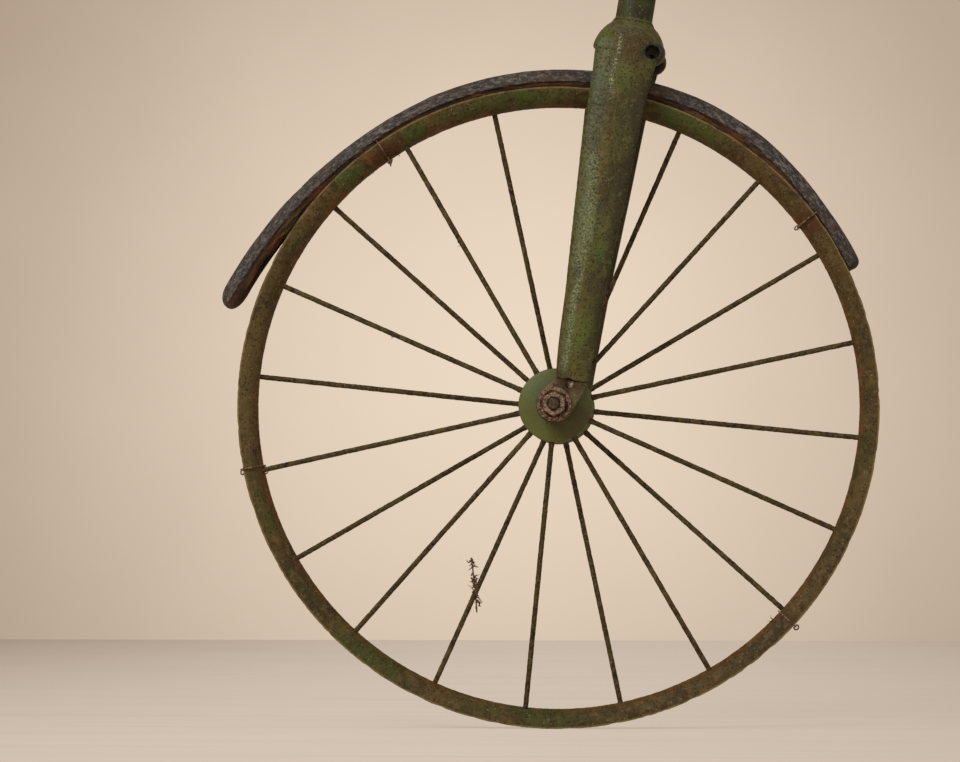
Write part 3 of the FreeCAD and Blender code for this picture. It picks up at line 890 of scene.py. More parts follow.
@dataclass(frozen=True)
class RimIron:
    """The rim's iron: dark brown with green remains of paint along its flanks, and worn lips."""

    name: str
    place: WheelPlace
    lip_radius: float
    back_radius: float
    patches: tuple[Patch, ...] = ()

    def material(self, effects: Effects) -> bpy.types.Material:
        """Build the material.

        Args:
            effects: The shared effects.

        Returns:
            The material.
        """
        material, sh, shader = new_material(self.name, effects)
        place = sh.object_place()
        distance = sh.axle_distance(place, self.place.centre)
        dark = sh.weather(place, 36.0, 0.5, 0.12)
        mottle = sh.weather(place, 190.0, 0.42, 0.06)
        rust = sh.weather(place, 130.0, 0.3, 0.04)
        green = sh.weather(place, 24.0, 0.3, 0.1)
        pits = sh.flecks(place, 560.0, 0.34, 0.42)
        dust = sh.flecks(place, 610.0, 0.09, 0.36)
        colour = sh.lay(dark, 0.7, Tint.IRON_OLIVE, Tint.IRON_DARK)
        colour = sh.lay(mottle, 0.5, colour, Tint.IRON_TAN)
        radius = sh.plus(distance, sh.wander(place, 140.0, 7.0 * MM, 6.0))
        from_back = sh.band(radius, self.back_radius + 1.5 * MM, self.back_radius + 4.0 * MM)
        to_lip = sh.rest(sh.band(radius, self.lip_radius - 3.2 * MM, self.lip_radius - 1.2 * MM))
        flank = sh.times(sh.times(from_back, to_lip), green)
        colour = sh.lay(flank, 0.8, colour, Tint.RIM_GREEN)
        colour = sh.patched(place, colour, self.patches)
        rusty = sh.mix(sh.band(sh.noise(place, 700.0), 0.35, 0.65), Tint.RUST_BROWN, Tint.RUST_DARK_AND_SHADE)
        colour = sh.lay(rust, 0.65, colour, rusty)
        back = sh.rest(sh.band(radius, self.back_radius + 0.6 * MM, self.back_radius + 3.4 * MM))
        back = sh.times(back, sh.band(sh.noise(place, 60.0, 5.0), 0.38, 0.6))
        colour = sh.lay(back, 0.4, colour, Tint.RUST_ORANGE)
        colour = sh.lay(pits, 0.6, colour, Tint.RUST_DARK_AND_SHADE)
        colour = sh.lay(dust, 0.45, colour, Tint.DUST)
        worn = sh.band(distance, self.lip_radius - 1.5 * MM, self.lip_radius - 0.7 * MM)
        worn = sh.times(worn, sh.band(sh.noise(place, 110.0, 6.0), 0.3, 0.5))
        colour = sh.lay(worn, 0.75, colour, Tint.BARE_EDGE)
        sh.put(shader.inputs["Base Color"], sh.grained(place, colour, 1100.0, 1.1, 0.45))
        sh.put(shader.inputs["Roughness"], sh.scaled(sh.noise(place, 260.0), 0.5, 0.42, True))
        relief = sh.pitting(place, 430.0, 0.6)
        height = sh.minus(relief, sh.times(pits, 0.8))
        sh.put(shader.inputs["Normal"], sh.bump(height, 0.28 * MM))
        return material


@dataclass(frozen=True)
class Ring:
    """A round band of another colour about the axle, from one radius to another."""

    inner: float
    outer: float
    tint: Tint
    strength: float = 0.8
    broken: float = 0.4


@dataclass(frozen=True)
class CrustedSteel:
    """Thick granular rust on plain steel, with rings of pale crust or of painted shade round the
    axle.
    """

    name: str
    base: Tint = Tint.CRUST_PINK
    pale: Tint = Tint.CRUST_PALE
    dark: Tint = Tint.RUST_DARK_AND_SHADE
    pale_amount: float = 0.4
    dark_cover: float = 0.4
    patches: tuple[Patch, ...] = ()
    middle: Vector | None = None
    rings: tuple[Ring, ...] = ()
    ring_edge: float = 0.3 * MM

    def material(self, effects: Effects) -> bpy.types.Material:
        """Build the material.

        Args:
            effects: The shared effects.

        Returns:
            The material.
        """
        material, sh, shader = new_material(self.name, effects)
        place = sh.object_place()
        clouds = sh.weather(place, 170.0, 0.5, 0.08)
        deep = sh.weather(place, 620.0, self.dark_cover, 0.05)
        grains = sh.flecks(place, 900.0, self.pale_amount, 0.45)
        colour = sh.mix(clouds, self.base, Tint.RUST_BROWN)
        colour = sh.lay(grains, 0.7, colour, self.pale)
        colour = sh.patched(place, colour, self.patches)
        if self.rings:
            wander = sh.wander(place, 300.0, 5.0 * MM, 6.0, 0.7)
            radius = sh.plus(sh.axle_distance(place, self.middle), wander)
            gaps = sh.noise(place, 700.0, 5.0, 0.65)
        for ring in self.rings:
            started = sh.band(radius, ring.inner - self.ring_edge, ring.inner + self.ring_edge)
            ended = sh.band(radius, ring.outer - self.ring_edge, ring.outer + self.ring_edge)
            kept = sh.band(gaps, ring.broken - 0.06, ring.broken + 0.06)
            shown = sh.times(sh.times(started, sh.rest(ended)), kept)
            colour = sh.lay(shown, ring.strength, colour, ring.tint)
        colour = sh.lay(deep, 0.75, colour, self.dark)
        sh.put(shader.inputs["Base Color"], colour)
        sh.put(shader.inputs["Roughness"], sh.scaled(sh.noise(place, 500.0), 0.3, 0.55))
        relief = sh.pitting(place, 900.0, 0.5)
        sh.put(shader.inputs["Normal"], sh.bump(relief, 0.35 * MM))
        return material


@dataclass(frozen=True)
class PerishedRubber:
    """Hardened dark rubber, with grey flakes drawn out along it and a dark brown ridged base."""

    name: str

    def material(self, effects: Effects) -> bpy.types.Material:
        """Build the material.

        Args:
            effects: The shared effects.

        Returns:
            The material.
        """
        material, sh, shader = new_material(self.name, effects, 0.3)
        lay = sh.add("Attribute", attribute_name=TYRE_LAY).outputs["Vector"]
        place = sh.object_place()
        drawn = sh.vector("MULTIPLY", lay, (0.45, 1.0, 0.0))
        ribbed = sh.vector("MULTIPLY", lay, (0.12, 1.0, 0.0))
        streak = sh.weather(drawn, 430.0, 0.42, 0.04)
        broad = sh.weather(place, 20.0, 0.5, 0.12)
        brown = sh.weather(drawn, 110.0, 0.42, 0.08)
        lines = sh.weather(ribbed, 330.0, 0.36, 0.05)
        dots = sh.weather(place, 700.0, 0.3, 0.04)
        tan = sh.weather(sh.vector("ADD", ribbed, (0.31, 0.17, 0.0)), 300.0, 0.36, 0.05)
        tread = sh.add("SeparateXYZ", {0: lay}).outputs[2]
        colour = sh.mix(brown, Tint.RUBBER, Tint.RUBBER_TAN)
        colour = sh.lay(broad, 0.6, colour, Tint.RUBBER_GREY)
        pale = sh.times(streak, sh.scaled(broad, 0.5, 0.25))
        colour = sh.mix(pale, colour, Tint.RUBBER_PALE)
        colour = sh.lay(dots, 0.6, colour, Tint.RUBBER_PALE)
        base = sh.lay(brown, 0.6, Tint.RUBBER_BASE, Tint.RUST_ORANGE)
        base = sh.lay(tan, 0.7, base, Tint.IRON_TAN)
        base = sh.lay(lines, 0.9, base, Tint.RUST_DARK_AND_SHADE)
        wander = sh.wander(drawn, 60.0, 0.9, 4.0)
        colour = sh.mix(sh.band(sh.plus(tread, wander), 0.3, 0.7), base, colour)
        sh.put(shader.inputs["Base Color"], sh.grained(place, colour, 1100.0, 1.3, 0.35))
        sh.put(shader.inputs["Roughness"], sh.scaled(sh.noise(place, 400.0), 0.3, 0.5))
        fine = sh.noise(drawn, 900.0, 6.0, 0.7)
        grain = sh.noise(place, 1500.0, 3.0, 0.6)
        height = sh.plus(fine, sh.times(grain, 0.5))
        sh.put(shader.inputs["Normal"], sh.bump(height, 0.35 * MM))
        return material


@dataclass(frozen=True)
class SpokeIron:
    """Rough rusted rod with remains of olive and green paint."""

    name: str

    def material(self, effects: Effects) -> bpy.types.Material:
        """Build the material.

        Args:
            effects: The shared effects.

        Returns:
            The material.
        """
        material, sh, shader = new_material(self.name, effects)
        place = sh.object_place()
        paint = sh.weather(place, 60.0, 0.5, 0.06)
        bright = sh.weather(place, 130.0, 0.3, 0.06)
        flecks = sh.flecks(place, 700.0, 0.14, 0.4)
        blotch = sh.band(sh.noise(place, 420.0), 0.35, 0.65)
        colour = sh.mix(blotch, Tint.IRON_OLIVE, Tint.RUST_DARK_AND_SHADE)
        colour = sh.lay(paint, 0.3, colour, Tint.OLIVE)
        colour = sh.lay(bright, 0.5, colour, Tint.IRON_TAN)
        colour = sh.lay(flecks, 0.4, colour, Tint.DUST)
        sh.put(shader.inputs["Base Color"], colour)
        sh.put(shader.inputs["Roughness"], sh.scaled(sh.noise(place, 500.0), 0.3, 0.55))
        relief = sh.pitting(place, 800.0, 0.5)
        sh.put(shader.inputs["Normal"], sh.bump(relief, 0.3 * MM))
        return material


@dataclass(frozen=True)
class RoomSurface:
    """Floor or wall of the plain studio, with a painted pool of light: pale near a point, a little
    darker away from it.
    """

    name: str
    near: Tint
    far: Tint
    centre: Vector
    reach: float
    glow: float
    boards: float = 0.0
    depth_share: float = 1.0
    seam_share: float = 0.012

    def material(self, effects: Effects) -> bpy.types.Material:
        """Build the material; its glow lights nothing else, and its outer side is see-through.

        Args:
            effects: The shared effects.

        Returns:
            The material.
        """
        material, sh, shader = new_material(self.name, effects)
        place = sh.object_place()
        spread = sh.vector("SUBTRACT", place, tuple(self.centre))
        spread = sh.vector("MULTIPLY", spread, (1.0, self.depth_share, 1.0))
        fall = sh.band(sh.vector("LENGTH", spread), 0.0, self.reach)
        mottle = sh.wander(place, 4.0, 0.12, 3.0)
        # painted pool of light: pale near the centre, darker out to the reach
        colour = sh.mix(sh.plus(fall, mottle, clamp=True), self.near, self.far)
        if self.boards:
            brushed = sh.noise(sh.vector("MULTIPLY", place, (2.2, 26.0, 1.0)), 1.4, 6.0, 0.6)
            marks = sh.noise(sh.vector("MULTIPLY", place, (6.0, 60.0, 1.0)), 1.0, 3.0, 0.6)
            depth = sh.add("SeparateXYZ", {0: place}).outputs["Y"]
            seam = sh.maths("FRACT", sh.maths("DIVIDE", depth, self.boards))
            seam = sh.maths("LESS_THAN", seam, self.seam_share)
            tone = sh.plus(sh.times(sh.minus(brushed, 0.5), 0.5),
                           sh.times(sh.band(marks, 0.68, 0.76), 0.35))
            tone = sh.plus(tone, sh.times(seam, 0.4), clamp=True)
            colour = sh.mix(tone, colour, Tint.FLOOR_DARK)
        sh.put(shader.inputs["Base Color"], colour)
        sh.put(shader.inputs["Roughness"], sh.scaled(sh.noise(place, 40.0), 0.1, 0.7))
        ray = sh.add("LightPath")
        seen = sh.plus(ray.outputs["Is Camera Ray"], ray.outputs["Is Glossy Ray"])
        seen = sh.plus(seen, ray.outputs["Is Transmission Ray"], clamp=True)
        glow = sh.add("Emission", {"Color": colour})
        both = sh.add("MixShader", {0: sh.times(seen, self.glow), 1: shader.outputs[0],
                                    2: glow.outputs[0]})
        outside = sh.add("NewGeometry").outputs["Backfacing"]
        clear = sh.add("BsdfTransparent")
        shown = sh.add("MixShader", {0: outside, 1: both.outputs[0], 2: clear.outputs[0]})
        sh.put(material.node_tree.nodes["Material Output"].inputs["Surface"], shown.outputs[0])
        return material


# --------------------------------------------------------------------------- the wheel
@dataclass
class Rim:
    """Crescent-section iron rim, its groove outwards, eaten by rust."""

    place: WheelPlace
    coat: bpy.types.Material
    radius: float = RIM_RADIUS
    depth: float = RIM_DEPTH
    width: float = RIM_WIDTH
    lip: float = 1.5 * MM
    groove: float = 7.0 * MM
    section_points: int = 40
    steps: int = 1180
    reliefs: tuple[Relief, ...] = (
        Relief(Grain.LUMPS, 12.0 * MM, 0.16 * MM, 0.62),
        Relief(Grain.LUMPS, 2.0 * MM, 0.16 * MM, 0.6),
        Relief(Grain.PITS, 3.0 * MM, 0.12 * MM, 1.0, 2.6),
    )
    eaten_depth: float = 0.7 * MM
    eaten_reach: float = 4.0 * MM
    eaten_from: float = 0.6
    eaten_scale: float = 95.0

    def section(self) -> bpy.types.Object:
        """Ring of points with the crescent's outline, at the front of the wheel.

        Returns:
            The ring.
        """
        half = self.width / 2.0
        spot = self.place.point(0.0, self.radius)
        Bench.clear()
        bpy.ops.mesh.primitive_circle_add(vertices=self.section_points, radius=half, location=spot)
        piece = Bench.added("iron_rim")
        Bench.edit(True)
        Bench.pick(piece, lambda co: co.x < spot.x - 0.01 * MM)
        bpy.ops.transform.resize(value=(self.depth / half, 1.0, 1.0), center_override=spot)
        Bench.pick(piece, lambda co: co.x > spot.x + 0.01 * MM)
        bpy.ops.transform.resize(value=(-self.groove / half, 1.0 - self.lip / half, 1.0),
                                 center_override=spot)
        Bench.edit(False)
        return piece

    def build(self) -> None:
        """Spin the section, then eat its surface and its lips."""
        piece = self.section()
        Bench.take(piece)
        Bench.edit(True)
        bpy.ops.mesh.select_all(action="SELECT")
        bpy.ops.mesh.spin(steps=self.steps, angle=math.tau, center=self.place.centre, axis=ACROSS)
        Bench.edit(False)
        Bench.close(piece, 0.05 * MM)
        for relief in self.reliefs:
            relief.raise_on(piece)
        self.eat_lips(piece)
        finish_piece(piece, "wheel", self.coat, ["rim"])

    def eat_lips(self, piece: bpy.types.Object) -> None:
        """Lower the rim's thin edges unevenly, as rust has.

        Args:
            piece: The rim.
        """
        for vertex in piece.data.vertices:
            spot = vertex.co - self.place.centre
            across = abs(spot.y) / (self.width / 2.0)
            outward = Vector((spot.x, 0.0, spot.z))
            reach = (outward.length - (self.radius - self.eaten_reach)) / self.eaten_reach
            if reach > 0.0 and across > self.eaten_from:
                rough = noise.fractal(spot * self.eaten_scale, 0.9, 2.1, 5)
                eaten = max(0.0, rough) * self.eaten_depth
                vertex.co -= outward.normalized() * eaten * min(reach, 1.0)


@dataclass
class Tyre:
    """What is left of the solid tyre, held by two ties, its tail sprung off the rim."""

    place: WheelPlace
    coat: bpy.types.Material
    tread_radius: float = 9.2 * MM
    base_share: float = 0.82
    first_angle: float = 26.0
    first_radius: float = 217.3 * MM
    first_toe: float = 1.25
    runs: tuple[tuple[float, float], ...] = (
        (302.6 * MM, 13.4), (175.4 * MM, 19.6), (217.4 * MM, 60.0), (304.6 * MM, 28.8))
    butt: float = 5.0 * MM
    butt_rows: int = 9
    butt_caps: tuple[float, ...] = (1.0, 0.65, 0.3)
    nose_length: float = 19.0 * MM
    nose_rows: int = 22
    nose_power: float = 3.2
    nose_tip: float = 0.03
    ridge_height: float = 0.32 * MM
    swell_height: float = 0.5 * MM
    crack_depth: float = 0.7 * MM
    crack_width: float = 0.09
    crack_from: float = 0.05
    sunk_depth: float = 0.25 * MM
    section_points: int = 56
    step: float = 0.85 * MM

    def centres(self) -> list[tuple[Vector, float, float, float]]:
        """The runs of the tyre's line, from its front end to its tail.

        Returns:
            Centre, radius in metres, first angle and turn in degrees of each run.
        """
        angle = self.first_angle + self.first_toe
        spot = self.place.point(self.first_angle, self.first_radius)
        found = []
        for radius, turn in self.runs:
            centre = spot - self.place.radial(angle) * radius
            found.append((centre, radius, angle, turn))
            angle += turn
            spot = centre + self.place.radial(angle) * radius
        return found

    def section(self) -> bpy.types.Object:
        """Ring of points at the tyre's front end: round tread, narrower base.

        Returns:
            The ring.
        """
        angle = self.first_angle + self.first_toe
        spot = self.place.point(self.first_angle, self.first_radius)
        Bench.clear()
        bpy.ops.mesh.primitive_circle_add(vertices=self.section_points, radius=self.tread_radius,
                                          location=spot, rotation=(0.0, -math.radians(angle), 0.0))
        piece = Bench.added("tyre_rubber")
        outward = self.place.radial(angle)
        Bench.edit(True)
        Bench.pick(piece, lambda co: (co - spot).dot(outward) < -0.08 * self.tread_radius)
        bpy.ops.transform.resize(value=(self.base_share,) * 3, center_override=spot)
        Bench.edit(False)
        return piece

    def build(self) -> None:
        """Spin the section along the runs, taper the tail, close the front and weather it all."""
        piece = self.section()
        first = [vertex.co.copy() for vertex in piece.data.vertices]
        Bench.take(piece)
        Bench.edit(True)
        bpy.ops.mesh.select_all(action="SELECT")
        for centre, radius, _, turn in self.centres():
            steps = round(radius * math.radians(turn) / self.step)
            bpy.ops.mesh.spin(steps=steps, angle=math.radians(turn), center=centre, axis=ACROSS)
        self.taper_tail()
        self.close_front(piece, first)
        Bench.edit(False)
        Bench.close(piece, 0.02 * MM)
        self.weather(piece)
        finish_piece(piece, "wheel", self.coat, ["tyre_remnant"])

    def tail(self) -> tuple[Vector, Vector]:
        """Where the tyre's line ends.

        Returns:
            The end of the last run, and the direction in which it points.
        """
        centre, radius, angle, turn = self.centres()[-1]
        end = angle + turn
        return centre + self.place.radial(end) * radius, self.place.tangent(end)

    def taper_tail(self) -> None:
        """Draw the selected ring out into the blunt round tip."""
        spot, ahead = self.tail()
        before = 1.0
        for row in range(1, self.nose_rows + 1):
            share = row / self.nose_rows
            girth = max(math.sqrt(max(1.0 - share ** self.nose_power, 0.0)), self.nose_tip)
            bpy.ops.mesh.extrude_edges_move(
                TRANSFORM_OT_translate={"value": ahead * (self.nose_length / self.nose_rows)})
            middle = spot + ahead * (self.nose_length * share)
            bpy.ops.transform.resize(value=(girth / before,) * 3, center_override=middle)
            before = girth
        bpy.ops.mesh.merge(type="CENTER")

    def close_front(self, piece: bpy.types.Object, first: Sequence[Vector]) -> None:
        """Close the square front end in rings, its corner worn round.

        Args:
            piece: The tyre, in edit mode.
            first: Places of the ring that the tyre starts with.
        """
        spots = {tuple(round(value, 6) for value in co) for co in first}
        Bench.pick(piece, lambda co: tuple(round(value, 6) for value in co) in spots)
        angle = self.first_angle + self.first_toe
        back = -self.place.tangent(angle)
        middle = self.place.point(self.first_angle, self.first_radius)
        before, gone = 1.0, 0.0
        flat = 1.0 - self.butt / self.tread_radius
        for row in range(1, self.butt_rows + len(self.butt_caps)):
            turn = math.pi / 2.0 * min(row / self.butt_rows, 1.0)
            cap = self.butt_caps[max(row - self.butt_rows, 0)]
            girth = (flat + (1.0 - flat) * math.cos(turn)) * cap
            out = self.butt * math.sin(turn) - gone
            bpy.ops.mesh.extrude_edges_move(TRANSFORM_OT_translate={"value": back * out})
            gone += out
            middle = middle + back * out
            bpy.ops.transform.resize(value=(girth / before,) * 3, center_override=middle)
            before = girth
        bpy.ops.mesh.merge(type="CENTER")

    def lay_of(self, spot: Vector) -> tuple[float, float, float]:
        """Distance along the tyre, distance round its section and height of a point above its line.

        Args:
            spot: A point on the tyre.

        Returns:
            Two distances in metres, and the height as a share of the tread's radius.
        """
        along = 0.0
        runs = self.centres()
        for number, (centre, radius, angle, turn) in enumerate(runs):
            arm = spot - centre
            bearing = math.degrees(math.atan2(arm.z, arm.x)) % 360.0
            if bearing <= angle + turn or number == len(runs) - 1:
                height = math.hypot(arm.x, arm.z) - radius
                along += radius * math.radians(bearing - angle)
                break
            along += radius * math.radians(turn)
        return along, math.atan2(arm.y, height) * self.tread_radius, height / self.tread_radius

    def weather(self, piece: bpy.types.Object) -> None:
        """Raise ridges and open cracks that run along the tyre, and note each point's lay.

        Args:
            piece: The tyre.
        """
        mesh = piece.data
        lay = mesh.attributes.new(TYRE_LAY, "FLOAT_VECTOR", "POINT")
        normals = [vertex.normal.copy() for vertex in mesh.vertices]
        for vertex, normal in zip(mesh.vertices, normals):
            along, wrap, height = self.lay_of(vertex.co)
            drawn = Vector((along * 38.0, wrap * 420.0, 0.0))
            broad = Vector((along * 30.0, wrap * 90.0, 5.0))
            ridge = noise.fractal(drawn, 0.8, 2.2, 4) * self.ridge_height
            swell = noise.noise(broad) * self.swell_height
            crack = abs(noise.noise(Vector((along * 60.0 + 9.0, wrap * 260.0, 2.0))))
            opened = noise.noise(Vector((along * 22.0, wrap * 110.0, 8.0))) > self.crack_from
            share = max(0.0, self.crack_width - crack) / self.crack_width if opened else 0.0
            raised = ridge + swell - share * self.crack_depth - self.sunk_depth
            vertex.co += normal * raised
            lay.data[vertex.index].vector = (along, wrap, 0.5 + 2.5 * (height + 0.06))


@dataclass
class Spokes:
    """Twenty direct spokes, alternately from the right and the left flange."""

    place: WheelPlace
    coat: bpy.types.Material
    count: int = 20
    first_angle: float = 12.0
    bar_radius: float = 1.75 * MM
    thread_radius: float = 2.0 * MM
    thread_length: float = 12.0 * MM
    head_radius: float = 3.3 * MM
    head_depth: float = 2.2 * MM
    foot_radius: float = 15.8 * MM
    foot_across: float = 19.75 * MM
    top_radius: float = 209.25 * MM
    top_across: float = 2.5 * MM
    step: float = 1.05 * MM
    sides: int = 12
    reliefs: tuple[Relief, ...] = (
        Relief(Grain.LUMPS, 4.0 * MM, 0.35 * MM, 0.55),
        Relief(Grain.LUMPS, 1.5 * MM, 0.4 * MM),
    )

    def bar(self, side: int) -> bpy.types.Object:
        """One spoke at the front of the wheel.

        Args:
            side: -1 for the right flange, 1 for the left one.

        Returns:
            The spoke.
        """
        foot = self.place.point(0.0, self.foot_radius, side * self.foot_across)
        top = self.place.point(0.0, self.top_radius, side * self.top_across)
        length = (top - foot).length
        rows = round(length / self.step)
        points, radii = [], []
        for row in range(rows + 1):
            reach = length * row / rows
            radius = self.bar_radius
            if reach < self.thread_length:
                radius = self.thread_radius
            if reach > length - self.head_depth:
                share = (reach - length + self.head_depth) / self.head_depth
                radius += (self.head_radius - self.bar_radius) * share
            points.append(foot.lerp(top, row / rows))
            radii.append(radius)
        return Bench.strand("spoke", points, radii, self.sides)

    def build(self) -> None:
        """Model a spoke for each side, copy it round, join the copies and roughen them."""
        for side, label in ((-1, "right"), (1, "left")):
            pattern = self.bar(side)
            copies = []
            for index in range(0 if side < 0 else 1, self.count, 2):
                copy = pattern.copy()
                copy.data = pattern.data.copy()
                bpy.context.scene.collection.objects.link(copy)
                self.turn(copy, self.first_angle + index * 360.0 / self.count)
                copies.append(copy)
            bpy.data.objects.remove(pattern)
            piece = Bench.joined(f"{label}_spoke_set", copies)
            for relief in self.reliefs:
                relief.raise_on(piece)
            finish_piece(piece, "wheel", self.coat, [f"{label}_spokes"])

    def turn(self, copy: bpy.types.Object, degrees: float) -> None:
        """Turn a copy round the axle.

        Args:
            copy: The copy of a spoke.
            degrees: The turn.
        """
        Bench.take(copy)
        Bench.edit(True)
        bpy.ops.mesh.select_all(action="SELECT")
        bpy.ops.transform.rotate(value=math.radians(degrees), orient_axis="Y",
                                 center_override=self.place.centre)
        Bench.edit(False)


@dataclass
class Ties:
    """Soft wire ties round the rim, some with a twisted tail."""

    place: WheelPlace
    coat: bpy.types.Material
    wire: float = 0.6 * MM
    rim_radius: float = RIM_RADIUS
    rim_depth: float = RIM_DEPTH
    rim_width: float = RIM_WIDTH
    above_rim: float = 1.3 * MM
    angles: tuple[float, ...] = (36.5, 124.0, 191.2, 317.2)
    round_steps: int = 44
    top_steps: int = 12
    hook_steps: int = 24
    coil_wraps: int = 3
    coil_steps: int = 14
    coil_radius: float = 1.15 * MM
    coil_pitch: float = 1.15 * MM

    def ring(self, degrees: float) -> list[Vector]:
        """Line of a tie: round the rim's back and across the groove.

        Args:
            degrees: Angle of the tie round the wheel.

        Returns:
            The points of the line, the first one repeated at its end.
        """
        half, depth = self.rim_width / 2.0, self.rim_depth - 0.3 * MM
        back = (half * half + depth * depth) / (2.0 * depth)
        middle = self.rim_radius - self.rim_depth + back
        arc = back + self.wire + 0.3 * MM
        top = self.rim_radius + self.above_rim
        open_angle = math.acos((top - middle) / arc)
        points = []
        for row in range(self.round_steps + 1):
            turn = open_angle + (math.tau - 2.0 * open_angle) * row / self.round_steps
            points.append(self.place.point(
                degrees, middle + arc * math.cos(turn), arc * math.sin(turn)))
        for row in range(1, self.top_steps):
            points.append(points[self.round_steps].lerp(points[0], row / self.top_steps))
        points.append(points[0].copy())
        return points

    def hook(
        self, root: Vector, out: Vector, along: Vector, wide: float, tall: float
    ) -> bpy.types.Object:
        """Small open loop of wire.

        Args:
            root: Middle of the loop's open side.
            out: Unit vector towards the loop's top.
            along: Unit vector from one leg to the other.
            wide: Width of the loop, in metres.
            tall: Height of the loop, in metres.

        Returns:
            The loop.
        """
        points = []
        for row in range(self.hook_steps + 1):
            share = row / self.hook_steps
            turn = math.radians(-60.0 + 300.0 * share)
            points.append(root + out * tall * (0.5 + 0.55 * math.sin(turn))
                          + along * wide / 2.0 * math.cos(turn)
                          + Vector((0.0, 1.6 * MM * (share - 0.5), 0.0)))
        return Bench.strand("hook", points, [self.wire * 0.85] * len(points))

    def coil(self, degrees: float) -> list[bpy.types.Object]:
        """Tight wraps of wire behind the rim, and their cut end.

        Args:
            degrees: Angle of the wraps round the wheel.

        Returns:
            The wraps and the cut end.
        """
        root = self.place.point(degrees, self.rim_radius - self.rim_depth - 1.0 * MM, -3.0 * MM)
        inward, along = -self.place.radial(degrees), self.place.tangent(degrees)
        axis = (along * 0.8 + inward * 0.6).normalized()
        side = axis.cross(ACROSS).normalized()
        points = []
        for row in range(self.coil_wraps * self.coil_steps + 1):
            wraps_done = row / self.coil_steps
            turn = math.tau * wraps_done
            points.append(root + axis * (self.coil_pitch * wraps_done - 1.2 * MM)
                          + (side * math.cos(turn) + ACROSS * math.sin(turn)) * self.coil_radius)
        wraps = Bench.strand("wraps", points, [self.wire * 0.85] * len(points))
        tail = [points[-1] + axis * step * 0.6 * MM + side * step * step * 0.12 * MM
                for step in range(3)]
        return [wraps, Bench.strand("cut_end", tail, [self.wire * 0.8] * len(tail))]

    def build(self) -> None:
        """Wind every tie and join them."""
        pieces = []
        for degrees in self.angles:
            ring = self.ring(degrees)
            pieces.append(Bench.strand("ring", ring, [self.wire] * len(ring)))
        front, top, back, low = self.angles
        behind = self.rim_radius - self.rim_depth
        lip = self.rim_radius + self.above_rim
        point, radial, tangent = self.place.point, self.place.radial, self.place.tangent
        pieces.append(self.hook(point(front, behind, -4.0 * MM), -radial(front), tangent(front),
                                2.0 * MM, 3.4 * MM))
        pieces += self.coil(top)
        pieces.append(self.hook(point(back + 0.5, lip - 1.2 * MM, -8.0 * MM), radial(back),
                                tangent(back), 3.2 * MM, 2.0 * MM))
        pieces.append(self.hook(point(back + 1.1, behind + 0.3 * MM, -4.0 * MM), -radial(back),
                                tangent(back), 3.6 * MM, 2.6 * MM))
        pieces.append(self.hook(point(low, lip - 0.6 * MM, -6.0 * MM), radial(low), tangent(low),
                                3.3 * MM, 2.6 * MM))
        piece = Bench.joined("wire_ties", pieces)
        Relief(Grain.LUMPS, 1.2 * MM, 0.15 * MM).raise_on(piece)
        finish_piece(piece, "wheel", self.coat, ["tie_wires"])


@dataclass
class HubShell:
    """The cast hub under its old paint."""

    coat: bpy.types.Material
    grain: float = 0.55 * MM

    def build(self) -> None:
        """Recast the hub and make it a little uneven."""
        piece = Bench.recast("hub", "cast_hub", self.grain)
        Relief(Grain.LUMPS, 9.0 * MM, 0.15 * MM, 0.55).raise_on(piece)
        finish_piece(piece, "wheel", self.coat, ["hub"])


# --------------------------------------------------------------------------- the fork
@dataclass(frozen=True)
class CastPart:
    """A fork piece that keeps its frame node's form and takes on a corroded surface."""

    node: str
    name: str
    slot: str
    grain: float
    reliefs: tuple[Relief, ...]

    def build(self, coat: bpy.types.Material) -> bpy.types.Object:
        """Recast the node, raise its relief and dress it.

        Args:
            coat: Its material.

        Returns:
            The piece.
        """
        piece = Bench.recast(self.node, self.name, self.grain)
        for relief in self.reliefs:
            relief.raise_on(piece)
        finish_piece(piece, "fork", coat, [self.node])
        return piece


